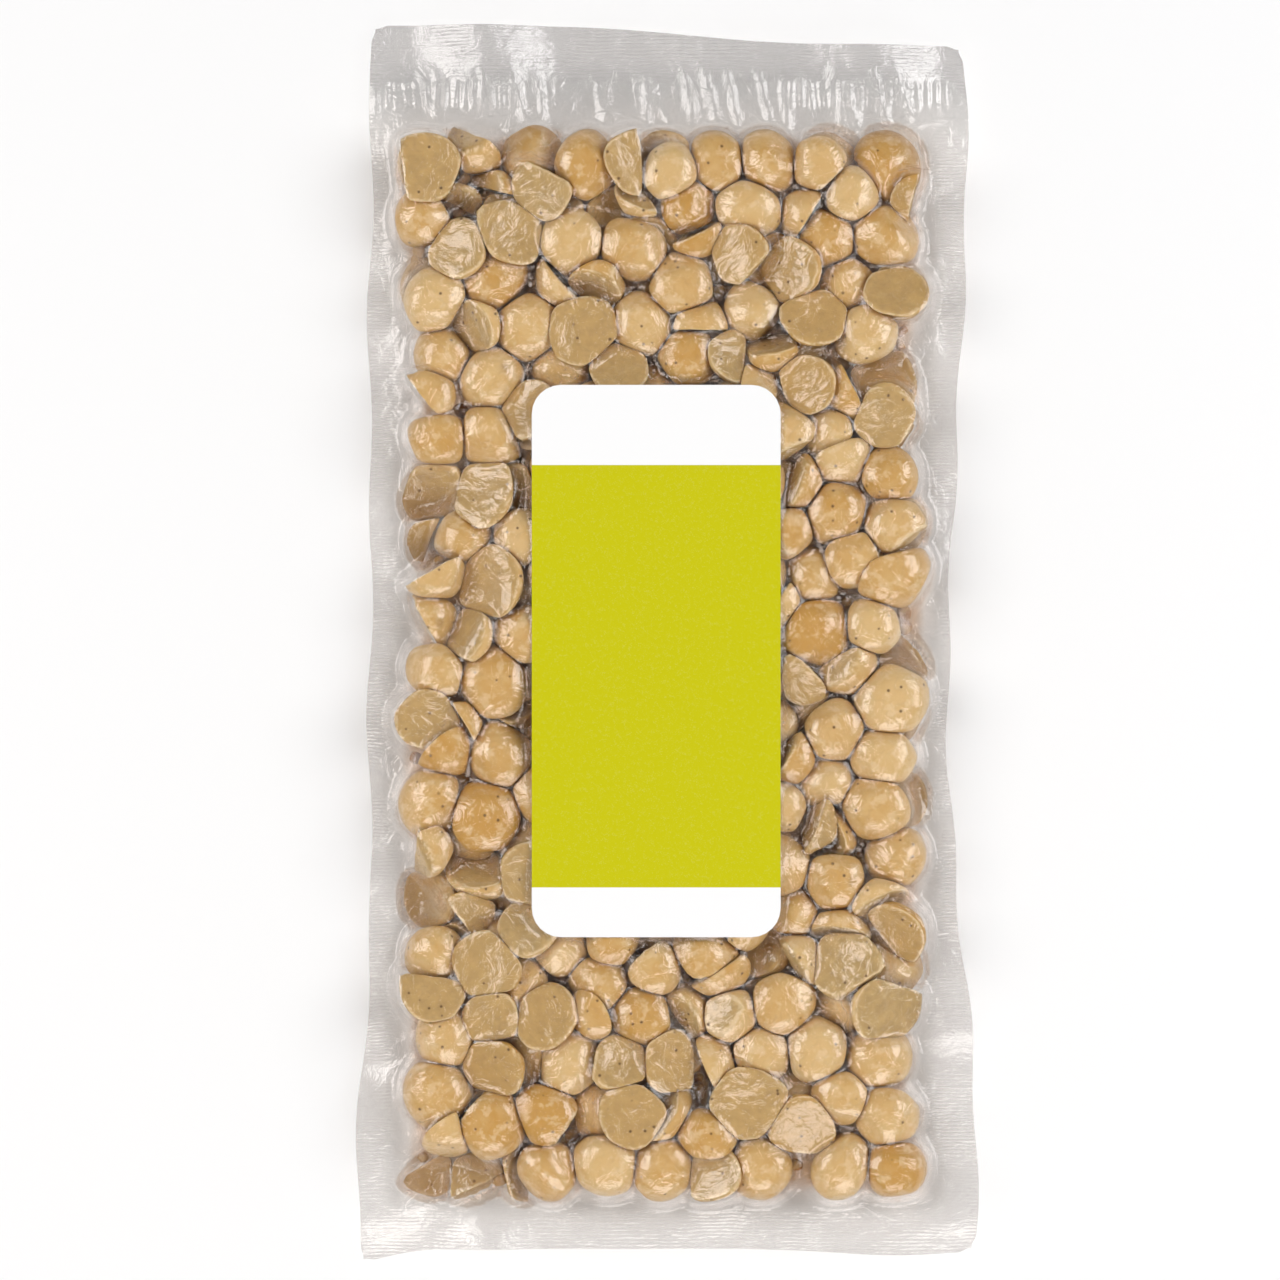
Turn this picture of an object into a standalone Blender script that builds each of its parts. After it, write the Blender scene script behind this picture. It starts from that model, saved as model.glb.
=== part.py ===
"""Vacuum-sealed pouch of shelled macadamia kernels, lying on its back.

Two clear films, welded all round in a wide flat seal, are shrunk over a bed of loose kernels about
one and a quarter layers deep, and one rounded label is stuck on the front. The pouch lies flat:
+Z is up through the front film, +Y runs along the pouch to its open lip, and the origin is under
the middle of it, on the surface that it lies on.

The kernels are wholes, halves, wedges and chips. A seeded draw gives each its size, its cuts and
its lean, and a settling loop pushes them apart between the films. Kernels that touch are then
joined in small groups, one object to a group, and every group keeps clear of the next.
"""

import math

import bmesh
import bpy
import numpy as np
from mathutils import Matrix, Vector
from mathutils.bvhtree import BVHTree

# Pouch, in metres
POUCH_LENGTH = 0.302
POUCH_LEFT = 0.0736  # from the bed's middle line to each side edge
POUCH_RIGHT = 0.0745
RIGHT_WAIST = 0.0046  # how far the right side draws in at the waist
FOOT_FLARE = 0.0030  # how far each side spreads at the closed end
SCALLOP = 0.0006  # the side edges' small waves
LIP_SLOPE = 0.0026  # the open lip's left half stands out by this, and its right half in by this
FOOT_CORNER = 0.0040  # the closed end's left corner reaches this much further
FLANGE_HEIGHT = 0.0056  # where the two films meet, above the surface
FILM = 0.0002  # one film
CLEARANCE = 0.0003  # between pieces that lie against each other

# Bed of kernels, in metres
BED_LEFT = -0.0640
BED_RIGHT = 0.0625
BED_FOOT = -0.1370
BED_HEAD = 0.1265
BED_LOW = 0.00055
BED_HIGH = 0.0158
FOOT_BULGE = 0.0035  # the bed spreads at the closed end's left corner

# Label, in metres
LABEL_LENGTH = 0.1365
LABEL_WIDTH = 0.0615
LABEL_CORNER = 0.0072
LABEL_THICK = 0.0003
LABEL_CENTRE = (-0.0028, -0.0042)

# Kernels
SEED = 11
ROWS = 23
COLUMNS = 10
KIND_SHARES = {"whole": 0.31, "pair": 0.25, "single": 0.28, "wedge": 0.10, "chip": 0.06}
SETTLE_STEPS = 300
UNCUT = 1.0  # a cut plane this far away takes nothing off
MAX_KERNEL = 0.0215  # kernels whose middles are further apart than this can't touch
FACETED_SWELL = 1.07  # makes up for the volume that flat facets leave out
FIRM_CONTACT = 0.0003  # the least overlap that joins two kernels in a group
GROUP_SIZE = 5
GROUP_ROW = 0.028  # groups are started row by row, this far apart
MAX_GROUPS = 50

# Where the films' grid lines lie in the seals, from -1 to 1 across and along the pouch
SEAL_ACROSS = (0.90, 0.95, 1.0)
SEAL_FOOT = (-1.0, -0.955, -0.912)
SEAL_HEAD = (0.842, 0.89, 0.94, 1.0)


def clear_scene():
    for thing in list(bpy.data.objects):
        bpy.data.objects.remove(thing, do_unlink=True)


def finish(name, color, roughness, alpha=1.0):
    material = bpy.data.materials.new(name)
    material.use_nodes = True
    shader = material.node_tree.nodes["Principled BSDF"]
    shader.inputs["Base Color"].default_value = (*color, 1.0)
    shader.inputs["Roughness"].default_value = roughness
    shader.inputs["Alpha"].default_value = alpha
    material.diffuse_color = (*color, alpha)
    return material


def add_object(name, mesh, material):
    mesh.materials.clear()
    mesh.materials.append(material)
    thing = bpy.data.objects.new(name, mesh)
    bpy.context.scene.collection.objects.link(thing)
    return thing


# ---------------------------------------------------------------- kernels


def left_wall(y):
    """The bed's left side: slow waves, and a bulge at the closed end."""
    bulge = FOOT_BULGE * np.exp(-(((y - BED_FOOT - 0.0095) / 0.02) ** 2))
    return BED_LEFT + 0.0016 * np.sin(95.0 * y + 1.0) + 0.0012 * np.sin(41.0 * y) - bulge


def right_wall(y):
    """The bed's right side: slow waves."""
    return BED_RIGHT + 0.0014 * np.sin(83.0 * y + 0.4) + 0.0011 * np.sin(37.0 * y + 2.0)


def turned(facing, spin):
    """Rotations that bring local +Z to each facing, after a spin about it."""
    z = facing / np.linalg.norm(facing, axis=1, keepdims=True)
    side = np.where(np.abs(z[:, 2:]) < 0.9, [[0.0, 0.0, 1.0]], [[1.0, 0.0, 0.0]])
    x = np.cross(side, z)
    x /= np.linalg.norm(x, axis=1, keepdims=True)
    y = np.cross(z, x)
    c, s = np.cos(spin)[:, None], np.sin(spin)[:, None]
    return np.stack([c * x + s * y, c * y - s * x, z], axis=2)


def draw_kernels(rng):
    """Each kernel's size, cuts and lean. A kernel is an ellipsoid with up to two planes cut off it.
    Local +Z is the first cut's outward side, so a half has its flat face there."""
    margin = 0.0062
    xs = np.linspace(BED_LEFT + margin, BED_RIGHT - margin, COLUMNS)
    ys = np.linspace(BED_FOOT + margin, BED_HEAD - margin, ROWS)
    stagger = 0.25 * (xs[1] - xs[0]) * np.where(np.arange(ROWS) % 2, 1.0, -1.0)
    sites = np.stack(np.broadcast_arrays(xs[None] + stagger[:, None], ys[:, None]), axis=2)
    sites = sites.reshape(-1, 2) + rng.uniform(-0.0035, 0.0035, (ROWS * COLUMNS, 2))
    site_kind = rng.choice(list(KIND_SHARES), len(sites), p=list(KIND_SHARES.values()))
    lower = site_kind == "pair"
    kind = np.concatenate([site_kind, site_kind[lower]])
    place = np.concatenate([sites, sites[lower]])
    count = len(kind)
    place = place + rng.normal(0.0, 0.0012, (count, 2))
    upper = (rng.random(count) < 0.62) | (kind == "pair")
    upper[len(sites) :] = False

    whole = kind == "whole"
    size = np.where(whole, rng.uniform(0.0064, 0.0078, count), rng.uniform(0.0068, 0.0087, count))
    stretch = [rng.uniform(1.0, 1.1, count), rng.uniform(0.87, 1.0, count), rng.uniform(0.88, 0.99, count)]
    axes = np.minimum(size[:, None] * np.stack(stretch, axis=1), [0.0092, 0.0092, 0.0076])

    cut_normals = np.zeros((count, 2, 3))
    cut_offsets = np.full((count, 2), UNCUT)
    cut_normals[:, 0, 2] = 1.0
    cut_offsets[~whole, 0] = 0.0
    cut_offsets[kind == "chip", 0] = -0.0022
    second = rng.uniform(math.radians(70), math.radians(110), count)
    cut_normals[:, 1, 0] = np.sin(second)
    cut_normals[:, 1, 2] = np.cos(second)
    sliced = (kind == "wedge") | (kind == "chip")
    cut_offsets[sliced, 1] = rng.uniform(-0.001, 0.002, sliced.sum())
    nicked = ~sliced & (rng.random(count) < 0.22)
    cut_offsets[nicked, 1] = rng.uniform(0.0042, 0.0056, nicked.sum())

    flat_up = np.where(rng.random(count) < 0.5, 1.0, -1.0)
    facing = np.column_stack([rng.normal(0.0, 0.22, (count, 2)), flat_up])
    any_way = rng.normal(0.0, 1.0, (count, 3))
    loose = whole | ((kind != "pair") & (rng.random(count) < 0.72))
    facing[loose] = any_way[loose]
    return {
        "axes": axes,
        "normals": cut_normals,
        "offsets": cut_offsets,
        "turns": turned(facing, rng.uniform(0.0, 2.0 * math.pi, count)),
        "place": place,
        "upper": upper,
    }


def sphere_directions(rings, sides):
    """Unit vectors on rings of equal polar spacing, and the two poles."""
    polar = (np.arange(rings)[:, None] + 0.5) * math.pi / rings
    around = np.arange(sides)[None] * 2.0 * math.pi / sides
    flat = np.sin(polar)
    grid = np.broadcast_arrays(flat * np.cos(around), flat * np.sin(around), np.cos(polar))
    return np.vstack([np.stack(grid, axis=2).reshape(-1, 3), [[0.0, 0.0, 1.0], [0.0, 0.0, -1.0]]])


def kernel_points(kernels, directions):
    """Where rays from a point inside each kernel leave it: at the ellipsoid or at a cut plane,
    whichever comes first."""
    axes, normals, offsets = kernels["axes"], kernels["normals"], kernels["offsets"]
    cut = (offsets < UNCUT)[..., None]
    inside = -0.3 * axes[:, :1] * np.sum(normals * cut, axis=1)
    ray = directions / axes[:, None, :]
    start = inside[:, None, :] / axes[:, None, :]
    a = np.sum(ray * ray, axis=2)
    b = np.sum(start * ray, axis=2)
    reach = (-b + np.sqrt(b * b - a * (np.sum(start * start, axis=2) - 1.0))) / a
    for k in range(normals.shape[1]):
        toward = np.einsum("vj,nj->nv", directions, normals[:, k])
        room = (offsets[:, k] - np.sum(inside * normals[:, k], axis=1))[:, None]
        reach = np.where(toward > 1e-6, np.minimum(reach, room / np.maximum(toward, 1e-6)), reach)
    points = inside[:, None, :] + reach[..., None] * directions[None]
    return np.einsum("nij,nvj->nvi", kernels["turns"], points)


def deepest_axes(centres, middles, points, flats, first, second):
    """For each pair, the direction in which the two overlap least, among the lines through their
    middles and centres, their flat faces' normals and straight up. Returns the overlap, that direction,
    and how far along it the plane midway between the two lies."""
    tries = [middles[second] - middles[first], centres[second] - centres[first]]
    tries += [flats[first], flats[second]]
    tries.append(np.broadcast_to([0.0, 0.0, 1.0], tries[0].shape))
    axes = np.stack(tries, axis=1)
    axes = axes / np.maximum(np.linalg.norm(axes, axis=2, keepdims=True), 1e-9)
    away = np.einsum("pkj,pj->pk", axes, middles[second] - middles[first])
    axes = axes * np.where(away < 0.0, -1.0, 1.0)[..., None]
    high = np.einsum("pvj,pkj->pkv", points[first] + centres[first][:, None], axes).max(axis=2)
    low = np.einsum("pvj,pkj->pkv", points[second] + centres[second][:, None], axes).min(axis=2)
    overlap = high - low
    best = overlap.argmin(axis=1)
    row = np.arange(len(best))
    return overlap[row, best], axes[row, best], 0.5 * (high + low)[row, best]


def settle(kernels):
    """Pushes overlapping kernels apart between the films and the bed's walls, while each keeps drifting
    back to the film that it started against. Returns the ellipsoids' centres."""
    points = kernel_points(kernels, sphere_directions(7, 10))
    middle, low, high = points.mean(axis=1), points.min(axis=1), points.max(axis=1)
    flats = kernels["turns"][:, :, 2]
    resting = np.where(kernels["upper"], BED_HIGH - high[:, 2], BED_LOW - low[:, 2])
    centres = np.column_stack([kernels["place"] - middle[:, :2], resting])
    first, second = np.triu_indices(len(centres), 1)
    for _ in range(SETTLE_STEPS):
        gap = np.linalg.norm((centres + middle)[second] - (centres + middle)[first], axis=1)
        a, b = first[gap < MAX_KERNEL], second[gap < MAX_KERNEL]
        overlap, axes, _ = deepest_axes(centres, centres + middle, points, flats, a, b)
        move = 0.35 * np.maximum(overlap, 0.0)[:, None] * axes
        np.add.at(centres, a, -move)
        np.add.at(centres, b, move)
        centres[:, 2] += 0.04 * (resting - centres[:, 2])
        y = centres[:, 1].copy()
        centres[:, 0] += np.maximum(left_wall(y) - centres[:, 0] - low[:, 0], 0.0)
        centres[:, 0] -= np.maximum(centres[:, 0] + high[:, 0] - right_wall(y), 0.0)
        centres[:, 1] += np.maximum(BED_FOOT - y - low[:, 1], 0.0)
        centres[:, 1] -= np.maximum(centres[:, 1] + high[:, 1] - BED_HEAD, 0.0)
        centres[:, 2] += np.maximum(BED_LOW - centres[:, 2] - low[:, 2], 0.0)
        centres[:, 2] -= np.maximum(centres[:, 2] + high[:, 2] - BED_HIGH, 0.0)
    return centres


def cut_off(solid, point, normal):
    """Takes off what lies beyond a plane, and closes the cut."""
    geometry = solid.verts[:] + solid.edges[:] + solid.faces[:]
    cut = bmesh.ops.bisect_plane(
        solid, geom=geometry, dist=1e-6, plane_co=point, plane_no=normal, clear_outer=True
    )
    rim = [edge for edge in cut["geom_cut"] if isinstance(edge, bmesh.types.BMEdge)]
    if rim:
        bmesh.ops.contextual_create(solid, geom=rim)


def faceted_kernel(axes, turn, centre, normals, offsets):
    """One kernel as a convex solid: a faceted ellipsoid with its own cuts."""
    solid = bmesh.new()
    bmesh.ops.create_uvsphere(solid, u_segments=6, v_segments=4, radius=FACETED_SWELL)
    for k in range(len(offsets)):
        if offsets[k] < UNCUT:
            scaled = Vector(normals[k] * axes)
            cut_off(solid, scaled * (offsets[k] / scaled.length_squared), scaled)
    place = Matrix.LocRotScale(Vector(centre), Matrix(turn.tolist()), None)
    bmesh.ops.transform(solid, matrix=place @ Matrix.Diagonal((*axes, 1.0)), verts=solid.verts)
    cut_off(solid, (0.0, 0.0, BED_HIGH), (0.0, 0.0, 1.0))
    cut_off(solid, (0.0, 0.0, BED_LOW), (0.0, 0.0, -1.0))
    return solid


def touching(one, other):
    return bool(BVHTree.FromBMesh(one).overlap(BVHTree.FromBMesh(other)))


def joined_groups(centres, contacts):
    """Splits the kernels into groups of about GROUP_SIZE that hang together by their contacts, from the
    head down."""
    neighbours = [set() for _ in centres]
    for a, b in contacts:
        neighbours[a].add(b)
        neighbours[b].add(a)
    row = np.round((BED_HEAD - centres[:, 1]) / GROUP_ROW)
    order = np.lexsort((centres[:, 0], row))
    group_of = np.full(len(centres), -1)
    groups = []
    for start in order:
        if group_of[start] >= 0:
            continue
        group = [start]
        group_of[start] = len(groups)
        while len(group) < GROUP_SIZE:
            free = {n for member in group for n in neighbours[member] if group_of[n] < 0}
            if not free:
                break
            hub = centres[group].mean(axis=0)
            nearest = min(sorted(free), key=lambda n: float(np.linalg.norm(centres[n] - hub)))
            group_of[nearest] = len(groups)
            group.append(nearest)
        groups.append(group)
    return merge_small(groups, group_of, neighbours)


def merge_small(groups, group_of, neighbours):
    """Lets the smallest groups join the smallest one that they touch, until pairs are gone and
    MAX_GROUPS are left."""
    while True:
        sizes = [len(group) for group in groups]
        live = [g for g, size in enumerate(sizes) if size]
        beside = {g: sorted({group_of[n] for m in groups[g] for n in neighbours[m]} - {g}) for g in live}
        small = min((g for g in live if beside[g]), key=lambda g: sizes[g])
        if len(live) <= MAX_GROUPS and sizes[small] > 2:
            return [groups[g] for g in live]
        host = min(beside[small], key=lambda g: sizes[g])
        groups[host] += groups[small]
        group_of[groups[small]] = host
        groups[small] = []


def connected(group, solids):
    """A group's kernels again, in parts that still hang together after the cuts."""
    parts = []
    for member in group:
        met = [part for part in parts if any(touching(solids[member], solids[other]) for other in part)]
        parts = [part for part in parts if part not in met] + [[member] + sum(met, [])]
    return parts


def union(name, solids, material):
    """Joins solids that overlap in one body."""
    objects = []
    for k, solid in enumerate(solids):
        mesh = bpy.data.meshes.new(f"{name}_{k}")
        solid.to_mesh(mesh)
        objects.append(add_object(f"{name}_{k}", mesh, material))
    body = objects[0]
    if len(objects) > 1:
        others = bpy.data.collections.new(name)
        for thing in objects[1:]:
            others.objects.link(thing)
        join = body.modifiers.new("join", "BOOLEAN")
        join.operation = "UNION"
        join.operand_type = "COLLECTION"
        join.collection = others
    mesh = bpy.data.meshes.new_from_object(body.evaluated_get(bpy.context.evaluated_depsgraph_get()))
    for thing in objects:
        bpy.data.objects.remove(thing, do_unlink=True)
    mesh.name = name
    mesh.shade_smooth()
    mesh.set_sharp_from_angle(angle=math.radians(40))
    return add_object(name, mesh, material)


def build_kernels(material):
    """All kernels, as one object to each group of touching ones."""
    kernels = draw_kernels(np.random.default_rng(SEED))
    centres = settle(kernels)
    swollen = FACETED_SWELL * kernel_points(kernels, sphere_directions(9, 14))
    middles = centres + swollen.mean(axis=1)
    first, second = np.triu_indices(len(centres), 1)
    near = np.linalg.norm(middles[second] - middles[first], axis=1) < MAX_KERNEL
    first, second = first[near], second[near]
    overlap, axes, mid = deepest_axes(centres, middles, swollen, kernels["turns"][:, :, 2], first, second)
    shapes = zip(kernels["axes"], kernels["turns"], centres, kernels["normals"], kernels["offsets"])
    solids = [faceted_kernel(*shape) for shape in shapes]
    pressed = np.flatnonzero(overlap > FIRM_CONTACT)
    firm = [k for k in pressed if touching(solids[first[k]], solids[second[k]])]
    groups = joined_groups(centres, [(first[k], second[k]) for k in firm])
    group_of = {member: g for g, group in enumerate(groups) for member in group}
    for k in np.flatnonzero(overlap > -CLEARANCE):
        a, b = first[k], second[k]
        if group_of[a] != group_of[b] or k not in firm:
            side = Vector(axes[k])
            cut_off(solids[a], side * (mid[k] - CLEARANCE / 2), side)
            cut_off(solids[b], side * (mid[k] + CLEARANCE / 2), -side)
    bodies = [part for group in groups for part in connected(group, solids)]
    return [
        union(f"kernels_{g + 1:02d}", [solids[k] for k in body], material) for g, body in enumerate(bodies)
    ]


# ---------------------------------------------------------------- films and label


def ramp(value, low, high):
    """0 below low, 1 above high, and smooth between."""
    t = np.clip((value - low) / (high - low), 0.0, 1.0)
    return t * t * (3.0 - 2.0 * t)


def side_edges(y):
    """The pouch's left and right edges: flared at the foot, drawn in at the right side's waist, with
    small waves."""
    flare = FOOT_FLARE * ramp(-y, 0.060, 0.135)
    waist = RIGHT_WAIST * np.exp(-(((y + 0.005) / 0.060) ** 2))
    left = -POUCH_LEFT - flare + SCALLOP * (np.sin(128.0 * y + 0.7) + 0.6 * np.sin(67.0 * y))
    right = POUCH_RIGHT + flare - waist + SCALLOP * (np.sin(141.0 * y + 2.0) + 0.6 * np.sin(59.0 * y + 1.0))
    return left, right


def end_edges(x):
    """The closed foot and the open lip: the lip steps down to the right, and the foot's left corner
    hangs out."""
    foot = -POUCH_LENGTH / 2 - FOOT_CORNER * np.exp(-(((x + 0.078) / 0.014) ** 2))
    foot = foot - 0.4 * FOOT_CORNER * np.exp(-(((x - 0.055) / 0.020) ** 2))
    lip = POUCH_LENGTH / 2 - LIP_SLOPE * np.tanh((x - 0.005) / 0.025)
    return foot, lip


def pouch_plan(u, v):
    """Plan positions for grid coordinates from -1 to 1 across and along, with the middle of the outline
    at the origin."""
    span = np.linspace(-1.0, 1.0, 801)
    sides, ends = side_edges(span * POUCH_LENGTH / 2), end_edges(span * POUCH_LEFT)
    middle_x = 0.5 * (sides[0].min() + sides[1].max())
    middle_y = 0.5 * (ends[0].min() + ends[1].max())
    left, right = side_edges(v * POUCH_LENGTH / 2)
    foot, lip = end_edges(u * POUCH_LEFT)
    x = left + (right - left) * (u + 1.0) / 2.0 - middle_x
    y = foot + (lip - foot) * (v + 1.0) / 2.0 - middle_y
    return x, y


def triangle_boxes(things):
    """The boxes of all triangles of some objects, as lowest and highest corners."""
    lows, highs = [], []
    for thing in things:
        mesh = thing.data
        mesh.calc_loop_triangles()
        points = np.zeros(len(mesh.vertices) * 3)
        corners = np.zeros(len(mesh.loop_triangles) * 3, dtype=np.int32)
        mesh.vertices.foreach_get("co", points)
        mesh.loop_triangles.foreach_get("vertices", corners)
        triangles = points.reshape(-1, 3)[corners].reshape(-1, 3, 3)
        lows.append(triangles.min(axis=1))
        highs.append(triangles.max(axis=1))
    return np.concatenate(lows), np.concatenate(highs)


def cells_touched(x, y, lows, highs):
    """For each grid cell, the indices of the boxes that reach into it."""
    for i in range(x.shape[0] - 1):
        for j in range(x.shape[1] - 1):
            cell_x, cell_y = x[i : i + 2, j : j + 2], y[i : i + 2, j : j + 2]
            reach_x = (highs[:, 0] > cell_x.min()) & (lows[:, 0] < cell_x.max())
            yield i, j, reach_x & (highs[:, 1] > cell_y.min()) & (lows[:, 1] < cell_y.max())


def film_sheet(name, across, along, height_of, material):
    """A film over the grid: its lower face at height_of(x, y), its upper face one FILM above, and a rim
    round both."""
    u, v = np.meshgrid(across, along, indexing="ij")
    x, y = pouch_plan(u, v)
    z = height_of(x, y)
    rows, columns = x.shape
    lower = np.stack([x, y, z], axis=2).reshape(-1, 3)
    upper = lower + [0.0, 0.0, FILM]
    index = np.arange(rows * columns).reshape(rows, columns)
    a, b, c, d = index[:-1, :-1], index[1:, :-1], index[1:, 1:], index[:-1, 1:]
    over = np.stack([a, b, c, d], axis=2).reshape(-1, 4) + rows * columns
    under = np.stack([a, d, c, b], axis=2).reshape(-1, 4)
    rim = np.concatenate([index[:, 0], index[-1, 1:], index[-2::-1, -1], index[0, -2:0:-1]])
    after = np.roll(rim, -1)
    wall = np.stack([rim, after, after + rows * columns, rim + rows * columns], axis=1)
    mesh = bpy.data.meshes.new(name)
    mesh.from_pydata(np.vstack([lower, upper]).tolist(), [], np.vstack([over, under, wall]).tolist())
    return add_object(name, mesh, material)


def build_front_film(kernels, material):
    """The front film: every grid point stands clear of the kernels in the cells around it, and lies
    flat in the seals."""
    lows, highs = triangle_boxes(kernels)
    bed_across = np.linspace(-SEAL_ACROSS[0], SEAL_ACROSS[0], 15)
    across = np.concatenate([-np.array(SEAL_ACROSS[:0:-1]), bed_across, SEAL_ACROSS[1:]])
    bed_along = np.linspace(SEAL_FOOT[-1], SEAL_HEAD[0], 27)
    along = np.concatenate([SEAL_FOOT[:-1], bed_along, SEAL_HEAD[1:]])

    def height(x, y):
        z = np.full(x.shape, FLANGE_HEIGHT + CLEARANCE / 2)
        for i, j, inside in cells_touched(x, y, lows, highs):
            if inside.any():
                corner = z[i : i + 2, j : j + 2]
                np.maximum(corner, highs[inside, 2].max() + CLEARANCE, out=corner)
        return z

    return film_sheet("front_film", across, along, height, material)


def build_back_film(kernels, material):
    """The back film: flat on the surface under all kernels, and raised to the front film in the seals."""
    lows, highs = triangle_boxes(kernels)
    across = np.concatenate([-np.array(SEAL_ACROSS[::-1]), [0.0], SEAL_ACROSS])
    along = np.concatenate([SEAL_FOOT, np.linspace(SEAL_FOOT[-1], SEAL_HEAD[0], 14)[1:-1], SEAL_HEAD])

    def height(x, y):
        z = np.full(x.shape, FLANGE_HEIGHT - CLEARANCE / 2 - FILM)
        for i, j, inside in cells_touched(x, y, lows, highs):
            if inside.any():
                z[i : i + 2, j : j + 2] = 0.0
        return z

    return film_sheet("back_film", across, along, height, material)


def build_label(film, material):
    """A rounded rectangle just over the front film's highest point."""
    base = max(vertex.co.z for vertex in film.data.vertices) + CLEARANCE
    outline = []
    for quarter, (side_x, side_y) in enumerate(((1, 1), (-1, 1), (-1, -1), (1, -1))):
        hub_x = LABEL_CENTRE[0] + side_x * (LABEL_WIDTH / 2 - LABEL_CORNER)
        hub_y = LABEL_CENTRE[1] + side_y * (LABEL_LENGTH / 2 - LABEL_CORNER)
        for angle in np.linspace(quarter * math.pi / 2, (quarter + 1) * math.pi / 2, 7):
            across, along = LABEL_CORNER * math.cos(angle), LABEL_CORNER * math.sin(angle)
            outline.append((hub_x + across, hub_y + along, base))
    solid = bmesh.new()
    face = solid.faces.new([solid.verts.new(point) for point in outline])
    raised = bmesh.ops.extrude_face_region(solid, geom=[face])
    tops = [item for item in raised["geom"] if isinstance(item, bmesh.types.BMVert)]
    bmesh.ops.translate(solid, vec=(0.0, 0.0, LABEL_THICK), verts=tops)
    bmesh.ops.recalc_face_normals(solid, faces=solid.faces[:])
    mesh = bpy.data.meshes.new("label")
    solid.to_mesh(mesh)
    return add_object("label", mesh, material)


clear_scene()
kernels = build_kernels(finish("kernel", (0.60, 0.42, 0.18), 0.45))
clear_film = finish("clear_film", (0.86, 0.85, 0.84), 0.12, alpha=0.35)
front_film = build_front_film(kernels, clear_film)
build_back_film(kernels, clear_film)
build_label(front_film, finish("label", (0.62, 0.60, 0.01), 0.5))
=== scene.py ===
"""Finished look of a vacuum-sealed pouch of macadamia kernels, lying on its back.

Laid out as an add-on: settings that a user would change, one operator for each group of pieces and one for
the stage, and a panel. Run as a script, it registers itself and calls the operators in order.
"""

import functools
import math

import bpy
import numpy as np
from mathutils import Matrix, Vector


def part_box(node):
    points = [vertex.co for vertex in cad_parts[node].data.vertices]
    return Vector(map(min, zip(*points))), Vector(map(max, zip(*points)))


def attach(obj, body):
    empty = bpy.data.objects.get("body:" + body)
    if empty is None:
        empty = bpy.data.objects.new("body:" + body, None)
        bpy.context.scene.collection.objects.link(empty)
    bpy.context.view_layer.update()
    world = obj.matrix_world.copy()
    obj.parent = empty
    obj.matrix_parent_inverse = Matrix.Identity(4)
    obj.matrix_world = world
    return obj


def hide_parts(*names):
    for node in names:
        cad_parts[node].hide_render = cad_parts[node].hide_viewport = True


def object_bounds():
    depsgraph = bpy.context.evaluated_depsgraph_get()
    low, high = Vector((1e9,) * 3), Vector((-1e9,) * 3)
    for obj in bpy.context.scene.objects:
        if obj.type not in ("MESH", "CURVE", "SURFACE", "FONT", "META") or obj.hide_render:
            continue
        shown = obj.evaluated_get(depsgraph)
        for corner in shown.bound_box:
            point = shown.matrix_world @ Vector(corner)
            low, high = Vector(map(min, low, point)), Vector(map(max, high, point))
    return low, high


bl_info = {
    "name": "Vacuum pouch of kernels",
    "version": (1, 0, 0),
    "blender": (4, 5, 0),
    "location": "View3D > Sidebar > Pouch",
    "description": "Builds the kernels, films and label of a vacuum-sealed pouch round its packed frame",
    "category": "Object",
}

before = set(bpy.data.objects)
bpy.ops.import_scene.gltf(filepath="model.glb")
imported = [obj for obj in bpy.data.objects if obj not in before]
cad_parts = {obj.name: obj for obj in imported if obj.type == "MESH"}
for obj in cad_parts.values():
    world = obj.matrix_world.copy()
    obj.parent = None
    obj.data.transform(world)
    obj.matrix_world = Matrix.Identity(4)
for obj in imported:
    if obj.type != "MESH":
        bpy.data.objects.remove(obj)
CAD_LOW, CAD_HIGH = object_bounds()
LABEL_LOW, LABEL_HIGH = (np.array(corner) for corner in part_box("label"))
KERNEL_NODES = sorted(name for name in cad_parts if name.startswith("kernels"))

# Pouch outline, in metres, as the frame has it
POUCH_LENGTH = 0.302
POUCH_LEFT = 0.0736
POUCH_RIGHT = 0.0745
RIGHT_WAIST = 0.0046
FOOT_FLARE = 0.0030
SCALLOP = 0.0006
LIP_SLOPE = 0.0026
FOOT_CORNER = 0.0040
FLANGE_HEIGHT = 0.0056

# Bed of kernels, in metres, as the frame has it
BED_LEFT = -0.0640
BED_RIGHT = 0.0625
BED_FOOT = -0.1370
BED_HEAD = 0.1265
BED_LOW = 0.00055
BED_HIGH = 0.0158
FOOT_BULGE = 0.0035
SEED = 11
ROWS = 23
COLUMNS = 10
KIND_SHARES = {"whole": 0.31, "pair": 0.25, "single": 0.28, "wedge": 0.10, "chip": 0.06}
SETTLE_STEPS = 300
UNCUT = 1.0  # a cut this far from the middle misses the kernel
MAX_KERNEL = 0.0215  # kernels with their middles farther apart don't touch
SETTLE_PUSH = 0.35  # share of an overlap that a step clears
SETTLE_DRIFT = 0.04  # share of the way back to its film that a kernel goes in a step

# Meshes
BANDS = 12  # pieces that the kernels are shared among, along the pouch
CONTACTS = 16  # neighbours that a kernel can be pressed by
KERNEL_RINGS = 26
KERNEL_SIDES = 38
CHIP_RINGS = 6
CHIP_SIDES = 8
FILM_PITCH = 0.00074  # one cell of a film's mesh
DRAPE_PITCH = 0.0006  # one cell of the height map that the films are shrunk on
SHRINK_STEPS = 420
BAKE_MAP = "OFBake"
CHART_MARGIN = 0.02  # of a kernel's cell in the flat map

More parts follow.
